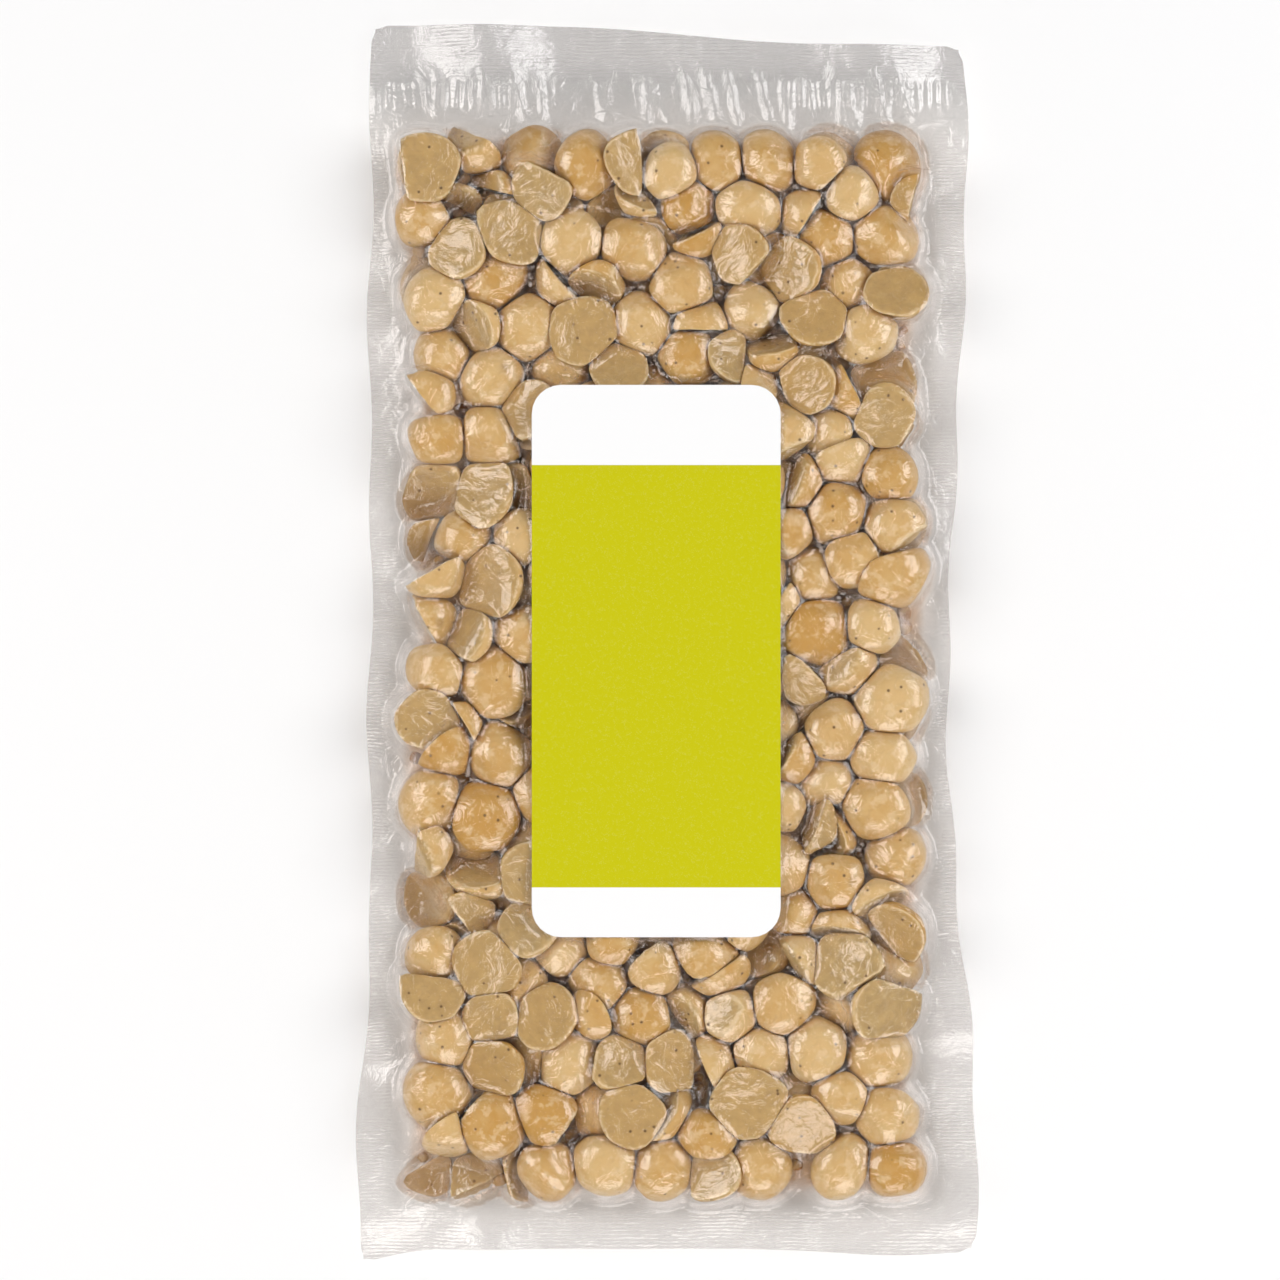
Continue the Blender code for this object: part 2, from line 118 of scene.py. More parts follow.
# Finished kernels and films, in metres
FLATS = 4  # gentle flats on each kernel's skin
FLAT_SOFTNESS = 0.0016
PRESS_SOFTNESS = 0.0017  # how gradually a kernel flattens against its neighbours
CUT_SOFTNESS = 0.00040
RIM_SOFTNESS = 0.0012
LABEL_GAP = 0.0004  # from the kernels up to the label
KERNEL_REST = 0.00035  # lowest height of a kernel
CHIP_REST = 0.0004
CHIP_SPOTS = 1600  # random gaps that are tried
CHIP_SPACING = 0.0026
FILM_GAP = 0.0001  # from the kernels to a film
WELD_GAP = 0.00006  # from a film to the middle of the weld, or to the label
BACK_REST = 0.00012  # lowest height of the back film
LABEL_CORNER = 0.0072
CORNER_ROUNDING = 0.0009  # how far the pouch's corners are drawn in
SLOW_WAVES = 0.0016  # height of the flange's waves, and of its folds at each edge
SIDE_FOLDS = 0.0034
LIP_FOLDS = 0.0085
FOOT_FOLDS = 0.0058
PLEATS = 0.0011  # height of the pleats between the bed and the head seal
PUCKERS = 0.00025  # height of the small folds round the bed
TICK_PITCH = 0.0024  # marks pressed along the head seal
TICK_IN, TICK_OUT = (0.1325, 0.1342), (0.1392, 0.1408)  # where the marks fade in and out along the pouch
TICK_REACH = 0.070  # to each side
PRINT_EDGE = 0.00005  # half the soft edge between two inks

# Fixed colours
SCAR_BROWN = (0.30, 0.16, 0.05)
SPECK_BROWN = (0.12, 0.055, 0.02)
# painted shade: the dark brown that kernels are mixed towards down in the crevices
CREVICE_SHADE_BROWN = (0.27, 0.135, 0.055)
MILK_WHITE = (0.80, 0.765, 0.745)
# partly painted shade: the milky haze is browned where the film bridges gaps
MILK_SHADED_OVER_GAPS = (0.72, 0.52, 0.40)
GLEAM_WHITE = (1.0, 0.985, 0.98)
GLEAM_ON_NUTS = (0.95, 0.80, 0.70)
WHITE = (1.0, 1.0, 1.0)

# Stage, in metres
FLOOR_REACH = 6.0
FLOOR_DROP = 0.0004
CAMERA_PLACE = (-0.0068, 0.0010)
SENSOR = 36.0  # millimetres
SOFTBOX_SIZE = 0.9
SOFTBOXES = (  # name, place, share of the key light, colour
    ("left_softbox", (-0.95, 0.25, 1.0), 1.0, (1.0, 0.985, 0.97)),
    ("right_softbox", (1.0, 0.30, 0.95), 1.0, (0.985, 0.99, 1.0)),
    ("foot_softbox", (0.15, -1.05, 0.95), 0.8, (1.0, 0.98, 0.965)),
)


# ---- settings


class PouchSettings(bpy.types.PropertyGroup):
    """Sizes and colours of the films."""

    film_tint: bpy.props.FloatVectorProperty(
        name="Film tint", description="Colour of light that passes one film over the kernels",
        subtype="COLOR", default=(0.97, 0.955, 0.94), min=0.0, max=1.0,
    )
    weld_tint: bpy.props.FloatVectorProperty(
        name="Weld tint", description="Colour of light that passes one film in the milky weld",
        subtype="COLOR", default=(0.75, 0.745, 0.74), min=0.0, max=1.0,
    )
    # Painted shade: a brown tint for the back film under gaps in the bed, so that the gaps look shaded
    gap_shade_tint: bpy.props.FloatVectorProperty(
        name="Gap shade tint", description="Colour of light that passes the back film under gaps in the bed, as painted shade",
        subtype="COLOR", default=(0.80, 0.58, 0.40), min=0.0, max=1.0,
    )
    cling: bpy.props.FloatProperty(
        name="Cling", description="How tightly the film curves down into gaps, per metre", default=900.0,
        min=0.0,
    )
    wrinkle: bpy.props.FloatProperty(
        name="Wrinkle", description="Height of the small wrinkles over gaps", default=0.00022, unit="LENGTH",
    )
    rib_pitch: bpy.props.FloatProperty(
        name="Rib pitch", description="Distance between the fine ribs pressed in the seals", default=0.00088,
        unit="LENGTH",
    )


class KernelSettings(bpy.types.PropertyGroup):
    """Shape and colours of the kernels."""

    swell: bpy.props.FloatProperty(
        name="Swell", description="Kernel size beside the settled layout", default=1.16, min=0.8, max=1.3,
    )
    pale: bpy.props.FloatVectorProperty(
        name="Pale skin", description="Lightest kernel colour", subtype="COLOR", default=(0.69, 0.495, 0.235),
    )
    golden: bpy.props.FloatVectorProperty(
        name="Golden skin", description="Deepest kernel colour", subtype="COLOR", default=(0.57, 0.33, 0.080),
    )
    broken: bpy.props.FloatVectorProperty(
        name="Broken face", description="Colour of a cut or broken face", subtype="COLOR",
        default=(0.60, 0.42, 0.180),
    )
    rim: bpy.props.FloatVectorProperty(
        name="Rim", description="Colour of the rough edge of a broken face", subtype="COLOR",
        default=(0.80, 0.64, 0.41),
    )


class LabelSettings(bpy.types.PropertyGroup):
    """Bands of the label."""

    white: bpy.props.FloatVectorProperty(
        name="White", description="Colour of the end bands", subtype="COLOR", default=(0.93, 0.93, 0.93),
    )
    lime: bpy.props.FloatVectorProperty(
        name="Lime", description="Colour of the middle band", subtype="COLOR", default=(0.575, 0.55, 0.004),
    )
    top_band: bpy.props.FloatProperty(
        name="Top band", description="Height of the white band at the label's head", default=0.0198,
        unit="LENGTH",
    )
    foot_band: bpy.props.FloatProperty(
        name="Foot band", description="Height of the white band at the label's foot", default=0.0123,
        unit="LENGTH",
    )


class StageSettings(bpy.types.PropertyGroup):
    """Camera, floor and lights."""

    view_width: bpy.props.FloatProperty(
        name="View width", description="Width of floor that the camera takes in", default=0.3195,
        unit="LENGTH",
    )
    camera_height: bpy.props.FloatProperty(
        name="Camera height", description="Height of the camera above the floor", default=1.7, unit="LENGTH",
    )
    key_power: bpy.props.FloatProperty(
        name="Key light", description="Power of the softboxes, each times its own share", default=10.6,
        unit="POWER",
    )
    floor_color: bpy.props.FloatVectorProperty(
        name="Floor", description="Colour of the floor", subtype="COLOR", default=(0.93, 0.93, 0.93),
    )


# ---- shared helpers


def ramp(value, low, high):
    """0 below low, 1 above high, and a smooth cubic between."""
    t = np.clip((value - low) / (high - low), 0.0, 1.0)
    return t * t * (3.0 - 2.0 * t)


def value_noise(x, y, pitch_x, pitch_y, seed):
    """Smooth noise from 0 to 1: random values on a lattice of that pitch, blended by smooth cubics."""
    gx, gy = x / pitch_x + 64.0, y / pitch_y + 64.0
    ix, iy = np.floor(gx).astype(int), np.floor(gy).astype(int)
    fx, fy = gx - ix, gy - iy
    fx, fy = fx * fx * (3.0 - 2.0 * fx), fy * fy * (3.0 - 2.0 * fy)
    lattice = np.random.default_rng(seed).random((512, 1024))
    rows, columns = ix % 512, iy % 1024
    next_rows, next_columns = (rows + 1) % 512, (columns + 1) % 1024
    near = lattice[rows, columns] * (1.0 - fx) + lattice[next_rows, columns] * fx
    far = lattice[rows, next_columns] * (1.0 - fx) + lattice[next_rows, next_columns] * fx
    return near * (1.0 - fy) + far * fy


def ridges(x, y, pitch_x, pitch_y, seed, sharpness=3.0):
    """Thin ridges from 0 to 1: one minus how far value noise is from its middle level, to a power."""
    level = np.abs(2.0 * value_noise(x, y, pitch_x, pitch_y, seed) - 1.0)
    return (1.0 - level) ** sharpness


def grid_faces(rows, columns, flip=False):
    """Quads over a grid of points in row order."""
    index = np.arange(rows * columns).reshape(rows, columns)
    corners = [index[:-1, :-1], index[1:, :-1], index[1:, 1:], index[:-1, 1:]]
    if flip:
        corners.reverse()
    return np.stack(corners, axis=2).reshape(-1, 4)


def mesh_object(name, points, faces, material, attributes=None):
    """An object at the origin, from points, quads (triangles have a last index below 0) and point values."""
    sizes = np.where(faces[:, 3] < 0, 3, 4)
    corners = faces[faces >= 0]
    mesh = bpy.data.meshes.new(name)
    mesh.vertices.add(len(points))
    mesh.vertices.foreach_set("co", points.astype(np.float32).ravel())
    mesh.loops.add(len(corners))
    mesh.loops.foreach_set("vertex_index", corners.astype(np.int32))
    mesh.polygons.add(len(faces))
    mesh.polygons.foreach_set("loop_start", (np.cumsum(sizes) - sizes).astype(np.int32))
    mesh.update(calc_edges=True)
    mesh.validate()
    mesh.shade_smooth()
    for label, values in (attributes or {}).items():
        layer = mesh.attributes.new(label, "FLOAT", "POINT")
        layer.data.foreach_set("value", values.astype(np.float32).ravel())
    mesh.materials.append(material)
    piece = bpy.data.objects.new(name, mesh)
    bpy.context.scene.collection.objects.link(piece)
    return piece


def add_bake_map(mesh, corner_places):
    """Gives the mesh a flat map from one place per face corner."""
    layer = mesh.uv_layers.new(name=BAKE_MAP)
    layer.uv.foreach_set("vector", corner_places.astype(np.float32).ravel())


# ---- node helpers


class Field:
    """A number that varies over a surface. Sums, differences and products of fields are Math nodes."""

    def __init__(self, tree, socket):
        self.tree, self.socket = tree, socket

    def __add__(self, other):
        return math_field(self.tree, "ADD", self, other)

    def __mul__(self, other):
        return math_field(self.tree, "MULTIPLY", self, other)

    def __sub__(self, other):
        return math_field(self.tree, "SUBTRACT", self, other)

    def __rsub__(self, other):
        return math_field(self.tree, "SUBTRACT", other, self)

    def __abs__(self):
        return math_field(self.tree, "ABSOLUTE", self)


def node(tree, kind, inputs=None, **settings):
    """A node with its settings; an input given as a field or socket is linked, and any other is set."""
    made = tree.nodes.new(kind)
    for key, value in settings.items():
        setattr(made, key, value)
    for key, value in (inputs or {}).items():
        value = getattr(value, "socket", value)
        if isinstance(value, bpy.types.NodeSocket):
            tree.links.new(value, made.inputs[key])
        else:
            made.inputs[key].default_value = value
    return made


def math_field(tree, operation, first, second=0.0):
    """What a Math node makes of one or two numbers."""
    return Field(tree, node(tree, "ShaderNodeMath", {0: first, 1: second}, operation=operation).outputs[0])


def mix_field(tree, factor, first, second):
    """A number between two."""
    return Field(tree, node(tree, "ShaderNodeMix", {0: factor, 2: first, 3: second}).outputs[0])


def mix_color(tree, factor, first, second):
    """A colour between two, each a socket or a plain colour."""
    first, second = (c if isinstance(c, bpy.types.NodeSocket) else (*c, 1.0) for c in (first, second))
    return node(tree, "ShaderNodeMix", {0: factor, 6: first, 7: second}, data_type="RGBA").outputs[2]


def band(tree, value, low, high):
    """0 below low, 1 above high, straight between."""
    made = node(tree, "ShaderNodeMapRange", {"Value": value, "From Min": low, "From Max": high})
    return Field(tree, made.outputs["Result"])


def noise(tree, coords, scale, detail=2.0, roughness=0.5, distortion=0.0):
    """Smooth noise from 0 to 1."""
    made = node(
        tree, "ShaderNodeTexNoise",
        {"Vector": coords, "Scale": scale, "Detail": detail, "Roughness": roughness,
         "Distortion": distortion},
    )
    return Field(tree, made.outputs["Fac"])


def attributes_of(tree, labels):
    """Point values of the mesh, by name."""
    made = (node(tree, "ShaderNodeAttribute", attribute_name=label) for label in labels.split())
    return [Field(tree, found.outputs["Fac"]) for found in made]


def new_material(name):
    """An empty node material, its tree and its object coordinates."""
    material = bpy.data.materials.new(name)
    material.use_nodes = True
    tree = material.node_tree
    tree.nodes.clear()
    return material, tree, node(tree, "ShaderNodeTexCoord").outputs["Object"]


def show(tree, kind, inputs):
    """Makes a shader and puts it on the surface."""
    node(tree, "ShaderNodeOutputMaterial", {"Surface": node(tree, kind, inputs).outputs[0]})


def grain_group():
    """Fine surface grain: two sizes of noise on object coordinates, as a height and a mask of its spots."""
    name = "Fine grain"
    if name in bpy.data.node_groups:
        return bpy.data.node_groups[name]
    tree = bpy.data.node_groups.new(name, "ShaderNodeTree")
    for label, way in (("Scale", "INPUT"), ("Fine share", "INPUT"), ("Height", "OUTPUT"), ("Mask", "OUTPUT")):
        tree.interface.new_socket(label, in_out=way, socket_type="NodeSocketFloat")
    given = node(tree, "NodeGroupInput")
    coords = node(tree, "ShaderNodeTexCoord").outputs["Object"]
    scale = Field(tree, given.outputs["Scale"])
    coarse = noise(tree, coords, scale, 3.0, 0.55)
    fine = noise(tree, coords, scale * 3.7, 2.0, 0.6)
    height = mix_field(tree, given.outputs["Fine share"], coarse, fine)
    node(tree, "NodeGroupOutput", {"Height": height, "Mask": band(tree, height, 0.52, 0.66)})
    return tree


def grain(tree, scale, fine_share):
    """Height and mask of the fine grain group at a scale."""
    placed = node(tree, "ShaderNodeGroup", node_tree=grain_group())
    placed.inputs["Scale"].default_value = scale
    placed.inputs["Fine share"].default_value = fine_share
    return Field(tree, placed.outputs["Height"]), Field(tree, placed.outputs["Mask"])


# ---- layout of the kernels, as the frame has it


def left_wall(y):
    """The bed's left side: a straight line with two sine waves, less a bulge at the foot."""
    bulge = FOOT_BULGE * np.exp(-(((y - BED_FOOT - 0.0095) / 0.02) ** 2))
    return BED_LEFT + 0.0016 * np.sin(95.0 * y + 1.0) + 0.0012 * np.sin(41.0 * y) - bulge


def right_wall(y):
    """The bed's right side: a straight line with two sine waves."""
    return BED_RIGHT + 0.0014 * np.sin(83.0 * y + 0.4) + 0.0011 * np.sin(37.0 * y + 2.0)


def turned(facing, spin):
    """Rotations that bring local +Z to each facing, after a spin about it."""
    z = facing / np.linalg.norm(facing, axis=1, keepdims=True)
    side = np.where(np.abs(z[:, 2:]) < 0.9, [[0.0, 0.0, 1.0]], [[1.0, 0.0, 0.0]])
    x = np.cross(side, z)
    x /= np.linalg.norm(x, axis=1, keepdims=True)
    y = np.cross(z, x)
    c, s = np.cos(spin)[:, None], np.sin(spin)[:, None]
    return np.stack([c * x + s * y, c * y - s * x, z], axis=2)


def draw_kernels(rng):
    """Each kernel's size, cuts and lean: an ellipsoid cut by up to two planes, the first across local +Z."""
    margin = 0.0062
    xs = np.linspace(BED_LEFT + margin, BED_RIGHT - margin, COLUMNS)
    ys = np.linspace(BED_FOOT + margin, BED_HEAD - margin, ROWS)
    stagger = 0.25 * (xs[1] - xs[0]) * np.where(np.arange(ROWS) % 2, 1.0, -1.0)
    sites = np.stack(np.broadcast_arrays(xs[None] + stagger[:, None], ys[:, None]), axis=2)
    sites = sites.reshape(-1, 2) + rng.uniform(-0.0035, 0.0035, (ROWS * COLUMNS, 2))
    site_kind = rng.choice(list(KIND_SHARES), len(sites), p=list(KIND_SHARES.values()))
    lower = site_kind == "pair"
    kind = np.concatenate([site_kind, site_kind[lower]])
    place = np.concatenate([sites, sites[lower]])
    count = len(kind)
    place = place + rng.normal(0.0, 0.0012, (count, 2))
    upper = (rng.random(count) < 0.62) | (kind == "pair")
    upper[len(sites) :] = False

    whole = kind == "whole"
    size = np.where(whole, rng.uniform(0.0064, 0.0078, count), rng.uniform(0.0068, 0.0087, count))
    stretch = [rng.uniform(1.0, 1.1, count), rng.uniform(0.87, 1.0, count), rng.uniform(0.88, 0.99, count)]
    axes = np.minimum(size[:, None] * np.stack(stretch, axis=1), [0.0092, 0.0092, 0.0076])

    cut_normals = np.zeros((count, 2, 3))
    cut_offsets = np.full((count, 2), UNCUT)
    cut_normals[:, 0, 2] = 1.0
    cut_offsets[~whole, 0] = 0.0
    cut_offsets[kind == "chip", 0] = -0.0022
    second = rng.uniform(math.radians(70), math.radians(110), count)
    cut_normals[:, 1, 0] = np.sin(second)
    cut_normals[:, 1, 2] = np.cos(second)
    sliced = (kind == "wedge") | (kind == "chip")
    cut_offsets[sliced, 1] = rng.uniform(-0.001, 0.002, sliced.sum())
    nicked = ~sliced & (rng.random(count) < 0.22)
    cut_offsets[nicked, 1] = rng.uniform(0.0042, 0.0056, nicked.sum())

    flat_up = np.where(rng.random(count) < 0.5, 1.0, -1.0)
    facing = np.column_stack([rng.normal(0.0, 0.22, (count, 2)), flat_up])
    any_way = rng.normal(0.0, 1.0, (count, 3))
    loose = whole | ((kind != "pair") & (rng.random(count) < 0.72))
    facing[loose] = any_way[loose]
    return {
        "axes": axes,
        "normals": cut_normals,
        "offsets": cut_offsets,
        "turns": turned(facing, rng.uniform(0.0, 2.0 * math.pi, count)),
        "place": place,
        "upper": upper,
    }


def ring_directions(polar, sides):
    """Unit vectors on rings at polar angles, and the two poles."""
    around = np.arange(sides)[None] * 2.0 * math.pi / sides
    flat = np.sin(polar)[:, None]
    up = np.cos(polar)[:, None]
    grid = np.stack(np.broadcast_arrays(flat * np.cos(around), flat * np.sin(around), up), axis=2)
    return np.vstack([grid.reshape(-1, 3), [[0.0, 0.0, 1.0], [0.0, 0.0, -1.0]]])


def sphere_directions(rings, sides):
    """Unit vectors on rings of equal polar spacing, and the two poles."""
    return ring_directions((np.arange(rings) + 0.5) * math.pi / rings, sides)


def layout_middles(kernels):
    """A point inside each kernel, off its centre away from its cuts, as the layout has it."""
    cut = (kernels["offsets"] < UNCUT)[..., None]
    return -0.3 * kernels["axes"][:, :1] * np.sum(kernels["normals"] * cut, axis=1)


def deepest_points(kernels):
    """The point of a lattice in each kernel where the skin and cuts leave the most room."""
    steps = np.linspace(-0.9, 0.9, 13)
    lattice = np.stack(np.meshgrid(steps, steps, steps, indexing="ij"), axis=3).reshape(-1, 3)
    lattice = lattice[np.linalg.norm(lattice, axis=1) < 0.95]
    places = kernels["axes"][:, None] * lattice[None]
    room = (1.0 - np.linalg.norm(lattice, axis=1))[None] * kernels["axes"].min(axis=1)[:, None]
    for k in range(kernels["normals"].shape[1]):
        beyond = kernels["offsets"][:, k : k + 1] - np.einsum("nvj,nj->nv", places, kernels["normals"][:, k])
        room = np.minimum(room, beyond)
    return places[np.arange(len(room)), room.argmax(axis=1)]


def skin_reach(axes, inside, directions):
    """How far each ray runs from the inside point to the ellipsoid: the larger root of its quadratic."""
    ray = directions / axes[:, None, :]
    start = inside[:, None, :] / axes[:, None, :]
    a = np.sum(ray * ray, axis=2)
    b = np.sum(start * ray, axis=2)
    return (-b + np.sqrt(b * b - a * (np.sum(start * start, axis=2) - 1.0))) / a


def kernel_points(kernels, directions):
    """Where rays from inside each kernel leave it: at the ellipsoid or a cut plane, whichever comes first."""
    normals, offsets = kernels["normals"], kernels["offsets"]
    inside = layout_middles(kernels)
    reach = skin_reach(kernels["axes"], inside, directions)
    for k in range(normals.shape[1]):
        toward = np.einsum("vj,nj->nv", directions, normals[:, k])
        room = (offsets[:, k] - np.sum(inside * normals[:, k], axis=1))[:, None]
        reach = np.where(toward > 1e-6, np.minimum(reach, room / np.maximum(toward, 1e-6)), reach)
    points = inside[:, None, :] + reach[..., None] * directions[None]
    return np.einsum("nij,nvj->nvi", kernels["turns"], points)


def least_overlaps(centres, middles, points, flats, first, second):
    """For each pair, the least overlap among the lines through their middles and centres, their flat faces'
    normals and straight up, then that direction, and how far along it their midway plane lies."""
    tries = [middles[second] - middles[first], centres[second] - centres[first], flats[first], flats[second]]
    tries.append(np.broadcast_to([0.0, 0.0, 1.0], tries[0].shape))
    axes = np.stack(tries, axis=1)
    axes = axes / np.maximum(np.linalg.norm(axes, axis=2, keepdims=True), 1e-9)
    away = np.einsum("pkj,pj->pk", axes, middles[second] - middles[first])
    axes = axes * np.where(away < 0.0, -1.0, 1.0)[..., None]
    high = np.einsum("pvj,pkj->pkv", points[first] + centres[first][:, None], axes).max(axis=2)
    low = np.einsum("pvj,pkj->pkv", points[second] + centres[second][:, None], axes).min(axis=2)
    overlap = high - low
    best = overlap.argmin(axis=1)
    row = np.arange(len(best))
    return overlap[row, best], axes[row, best], 0.5 * (high + low)[row, best]


def near_pairs(middles):
    """Index pairs of the kernels near enough to touch."""
    first, second = np.triu_indices(len(middles), 1)
    near = np.linalg.norm(middles[second] - middles[first], axis=1) < MAX_KERNEL
    return first[near], second[near]


def settle(kernels):
    """Pushes overlapping kernels apart between the films and the bed's walls, while each drifts back to the
    film that it started against. Returns the ellipsoids' centres."""
    points = kernel_points(kernels, sphere_directions(7, 10))
    middle, low, high = points.mean(axis=1), points.min(axis=1), points.max(axis=1)
    flats = kernels["turns"][:, :, 2]
    resting = np.where(kernels["upper"], BED_HIGH - high[:, 2], BED_LOW - low[:, 2])
    centres = np.column_stack([kernels["place"] - middle[:, :2], resting])
    for _ in range(SETTLE_STEPS):
        a, b = near_pairs(centres + middle)
        overlap, axes, _ = least_overlaps(centres, centres + middle, points, flats, a, b)
        move = SETTLE_PUSH * np.maximum(overlap, 0.0)[:, None] * axes
        np.add.at(centres, a, -move)
        np.add.at(centres, b, move)
        centres[:, 2] += SETTLE_DRIFT * (resting - centres[:, 2])
        y = centres[:, 1].copy()
        centres[:, 0] += np.maximum(left_wall(y) - centres[:, 0] - low[:, 0], 0.0)
        centres[:, 0] -= np.maximum(centres[:, 0] + high[:, 0] - right_wall(y), 0.0)
        centres[:, 1] += np.maximum(BED_FOOT - y - low[:, 1], 0.0)
        centres[:, 1] -= np.maximum(centres[:, 1] + high[:, 1] - BED_HEAD, 0.0)
        centres[:, 2] += np.maximum(BED_LOW - centres[:, 2] - low[:, 2], 0.0)
        centres[:, 2] -= np.maximum(centres[:, 2] + high[:, 2] - BED_HIGH, 0.0)
    return centres


def contact_planes(kernels, centres):
    """The planes midway between each kernel and up to CONTACTS of its nearest neighbours, in its own turned
    frame and from its centre; a spare plane lies far out."""
    points = kernel_points(kernels, sphere_directions(9, 14))
    middle = points.mean(axis=1)
    a, b = near_pairs(centres + middle)
    flats = kernels["turns"][:, :, 2]
    overlap, axes, along = least_overlaps(centres, centres + middle, points, flats, a, b)
    close = overlap > -0.0045
    a, b, axes, along, overlap = a[close], b[close], axes[close], along[close], overlap[close]
    owner, facing = np.concatenate([a, b]), np.concatenate([axes, -axes])
    level = np.concatenate([along, -along]) - np.sum(facing * centres[owner], axis=1)
    order = np.lexsort((-np.concatenate([overlap, overlap]), owner))
    owner, facing, level = owner[order], facing[order], level[order]
    rank = np.arange(len(owner)) - np.searchsorted(owner, owner)
    kept = rank < CONTACTS
    planes = np.zeros((len(centres), CONTACTS, 4))
    planes[..., 2:] = [1.0, UNCUT]
    planes[owner[kept], rank[kept], :3] = np.einsum("pij,pi->pj", kernels["turns"][owner[kept]], facing[kept])
    planes[owner[kept], rank[kept], 3] = level[kept]
    return planes


# ---- finished kernels


def ring_angles():
    """Polar angles of a kernel's rings, by the running total of a density that peaks round a half's rim."""
    angle = np.linspace(0.0, math.pi, 721)
    density = 1.0 + 2.4 * np.exp(-(((angle - math.radians(72)) / math.radians(13)) ** 2))
    total = np.cumsum(density)
    total = (total - total[0]) / (total[-1] - total[0])
    return np.interp((np.arange(KERNEL_RINGS) + 0.5) / KERNEL_RINGS, total, angle)


def lumps(rng, directions, count, waves, lowest, highest):
    """Smooth bumps from -1 to 1 on unit directions: the mean of a few sine waves, each with a kernel's own
    heading, wave number and phase."""
    total = np.zeros((count, len(directions)))
    for _ in range(waves):
        heading = rng.normal(0.0, 1.0, (count, 3))
        heading *= (rng.uniform(lowest, highest, count) / np.linalg.norm(heading, axis=1))[:, None]
        total += np.sin(heading @ directions.T + rng.uniform(0.0, 2.0 * math.pi, count)[:, None])
    return total / waves


def soft_min(first, second, softness):
    """The smaller of two lengths, rounded where they are near each other, and how far the second rules."""
    share = np.clip(0.5 + 0.5 * (second - first) / softness, 0.0, 1.0)
    return second * (1.0 - share) + first * share - softness * share * (1.0 - share), 1.0 - share


def to_plane(room, toward):
    """How far rays run to a plane, from their distance to it and their headings' share along its normal."""
    return np.where(toward > 0.02, room / np.maximum(toward, 0.02), UNCUT)


def finished_points(kernels, centres, planes, directions, swell, rng):
    """Kernel surfaces: the swollen ellipsoid's reach with lumps and at times a scar, softly cut by dished and
    rough planes, pressed flat by its neighbours and held under the label. Returns points, and how far each is
    on a cut, on its rim and in a scar."""
    normals, offsets = kernels["normals"], kernels["offsets"]
    axes = kernels["axes"] * swell
    count = len(axes)
    inside = deepest_points(kernels)
    reach = skin_reach(axes, inside, directions)
    large, small = lumps(rng, directions, count, 3, 1.2, 3.2), lumps(rng, directions, count, 5, 5.0, 11.0)
    reach *= 1.0 + 0.050 * large + 0.014 * small
    for _ in range(FLATS):
        heading = rng.normal(0.0, 1.0, (count, 3))
        heading /= np.linalg.norm(heading, axis=1, keepdims=True)
        skin = np.sqrt(np.sum((heading * axes) ** 2, axis=1)) * rng.uniform(0.84, 0.97, count)
        room = np.maximum(skin - np.sum(inside * heading, axis=1), 0.0012)[:, None]
        reach = soft_min(reach, to_plane(room, heading @ directions.T), FLAT_SOFTNESS)[0]
    tip = rng.normal(0.0, 1.0, (count, 3)) * [1.0, 1.0, 0.7] - [0.0, 0.0, 0.5]
    tip /= np.linalg.norm(tip, axis=1, keepdims=True)
    near_tip = np.clip(tip @ directions.T, -1.0, 1.0)
    scar = np.exp((near_tip - 1.0) / 0.010) * (rng.random(count) < 0.30)[:, None]
    reach *= 1.0 + 0.030 * np.exp((near_tip - 1.0) / 0.10) - 0.060 * scar
    grit = lumps(rng, directions, count, 6, 12.0, 30.0)
    chipped = lumps(rng, directions, count, 4, 5.0, 12.0)
    dish = rng.uniform(0.0003, 0.0012, count)[:, None]
    cut, rim = np.zeros_like(reach), np.zeros_like(reach)
    for k in range(normals.shape[1]):
        toward = np.einsum("vj,nj->nv", directions, normals[:, k])
        room = (offsets[:, k] - np.sum(inside * normals[:, k], axis=1))[:, None]
        beside = to_plane(room, toward) * np.sqrt(np.clip(1.0 - toward * toward, 0.0, 1.0)) / axes[:, :1]
        inner = np.clip(1.0 - (beside / 0.86) ** 2, 0.0, 1.0)
        hollow = np.minimum(dish, 0.35 * room) * inner * (1.0 if k == 0 else -0.3)
        rough = (0.00006 if k == 0 else 0.00020) * grit + 0.00035 * chipped * (1.0 - inner)
        face = to_plane(np.maximum(room - hollow + rough, 0.0003), toward)
        near_edge = soft_min(reach, face, RIM_SOFTNESS)[1]
        reach, on_cut = soft_min(reach, face, CUT_SOFTNESS)
        rim = np.maximum(rim * (1.0 - on_cut), 4.0 * near_edge * (1.0 - near_edge))
        cut = np.maximum(cut, on_cut)
    for k in range(planes.shape[1]):
        room = planes[:, k, 3] - np.sum(inside * planes[:, k, :3], axis=1)
        pressed = to_plane(np.maximum(room, 0.0008)[:, None], planes[:, k, :3] @ directions.T)
        reach = soft_min(reach, pressed, PRESS_SOFTNESS)[0]
    points = inside[:, None, :] + reach[..., None] * directions[None]
    points = np.einsum("nij,nvj->nvi", kernels["turns"], points) + centres[:, None]
    ceiling = np.full_like(reach, LABEL_LOW[2] - LABEL_GAP)
    points[..., 2] = np.maximum(soft_min(points[..., 2], ceiling, RIM_SOFTNESS)[0], KERNEL_REST)
    return points, cut, rim, scar


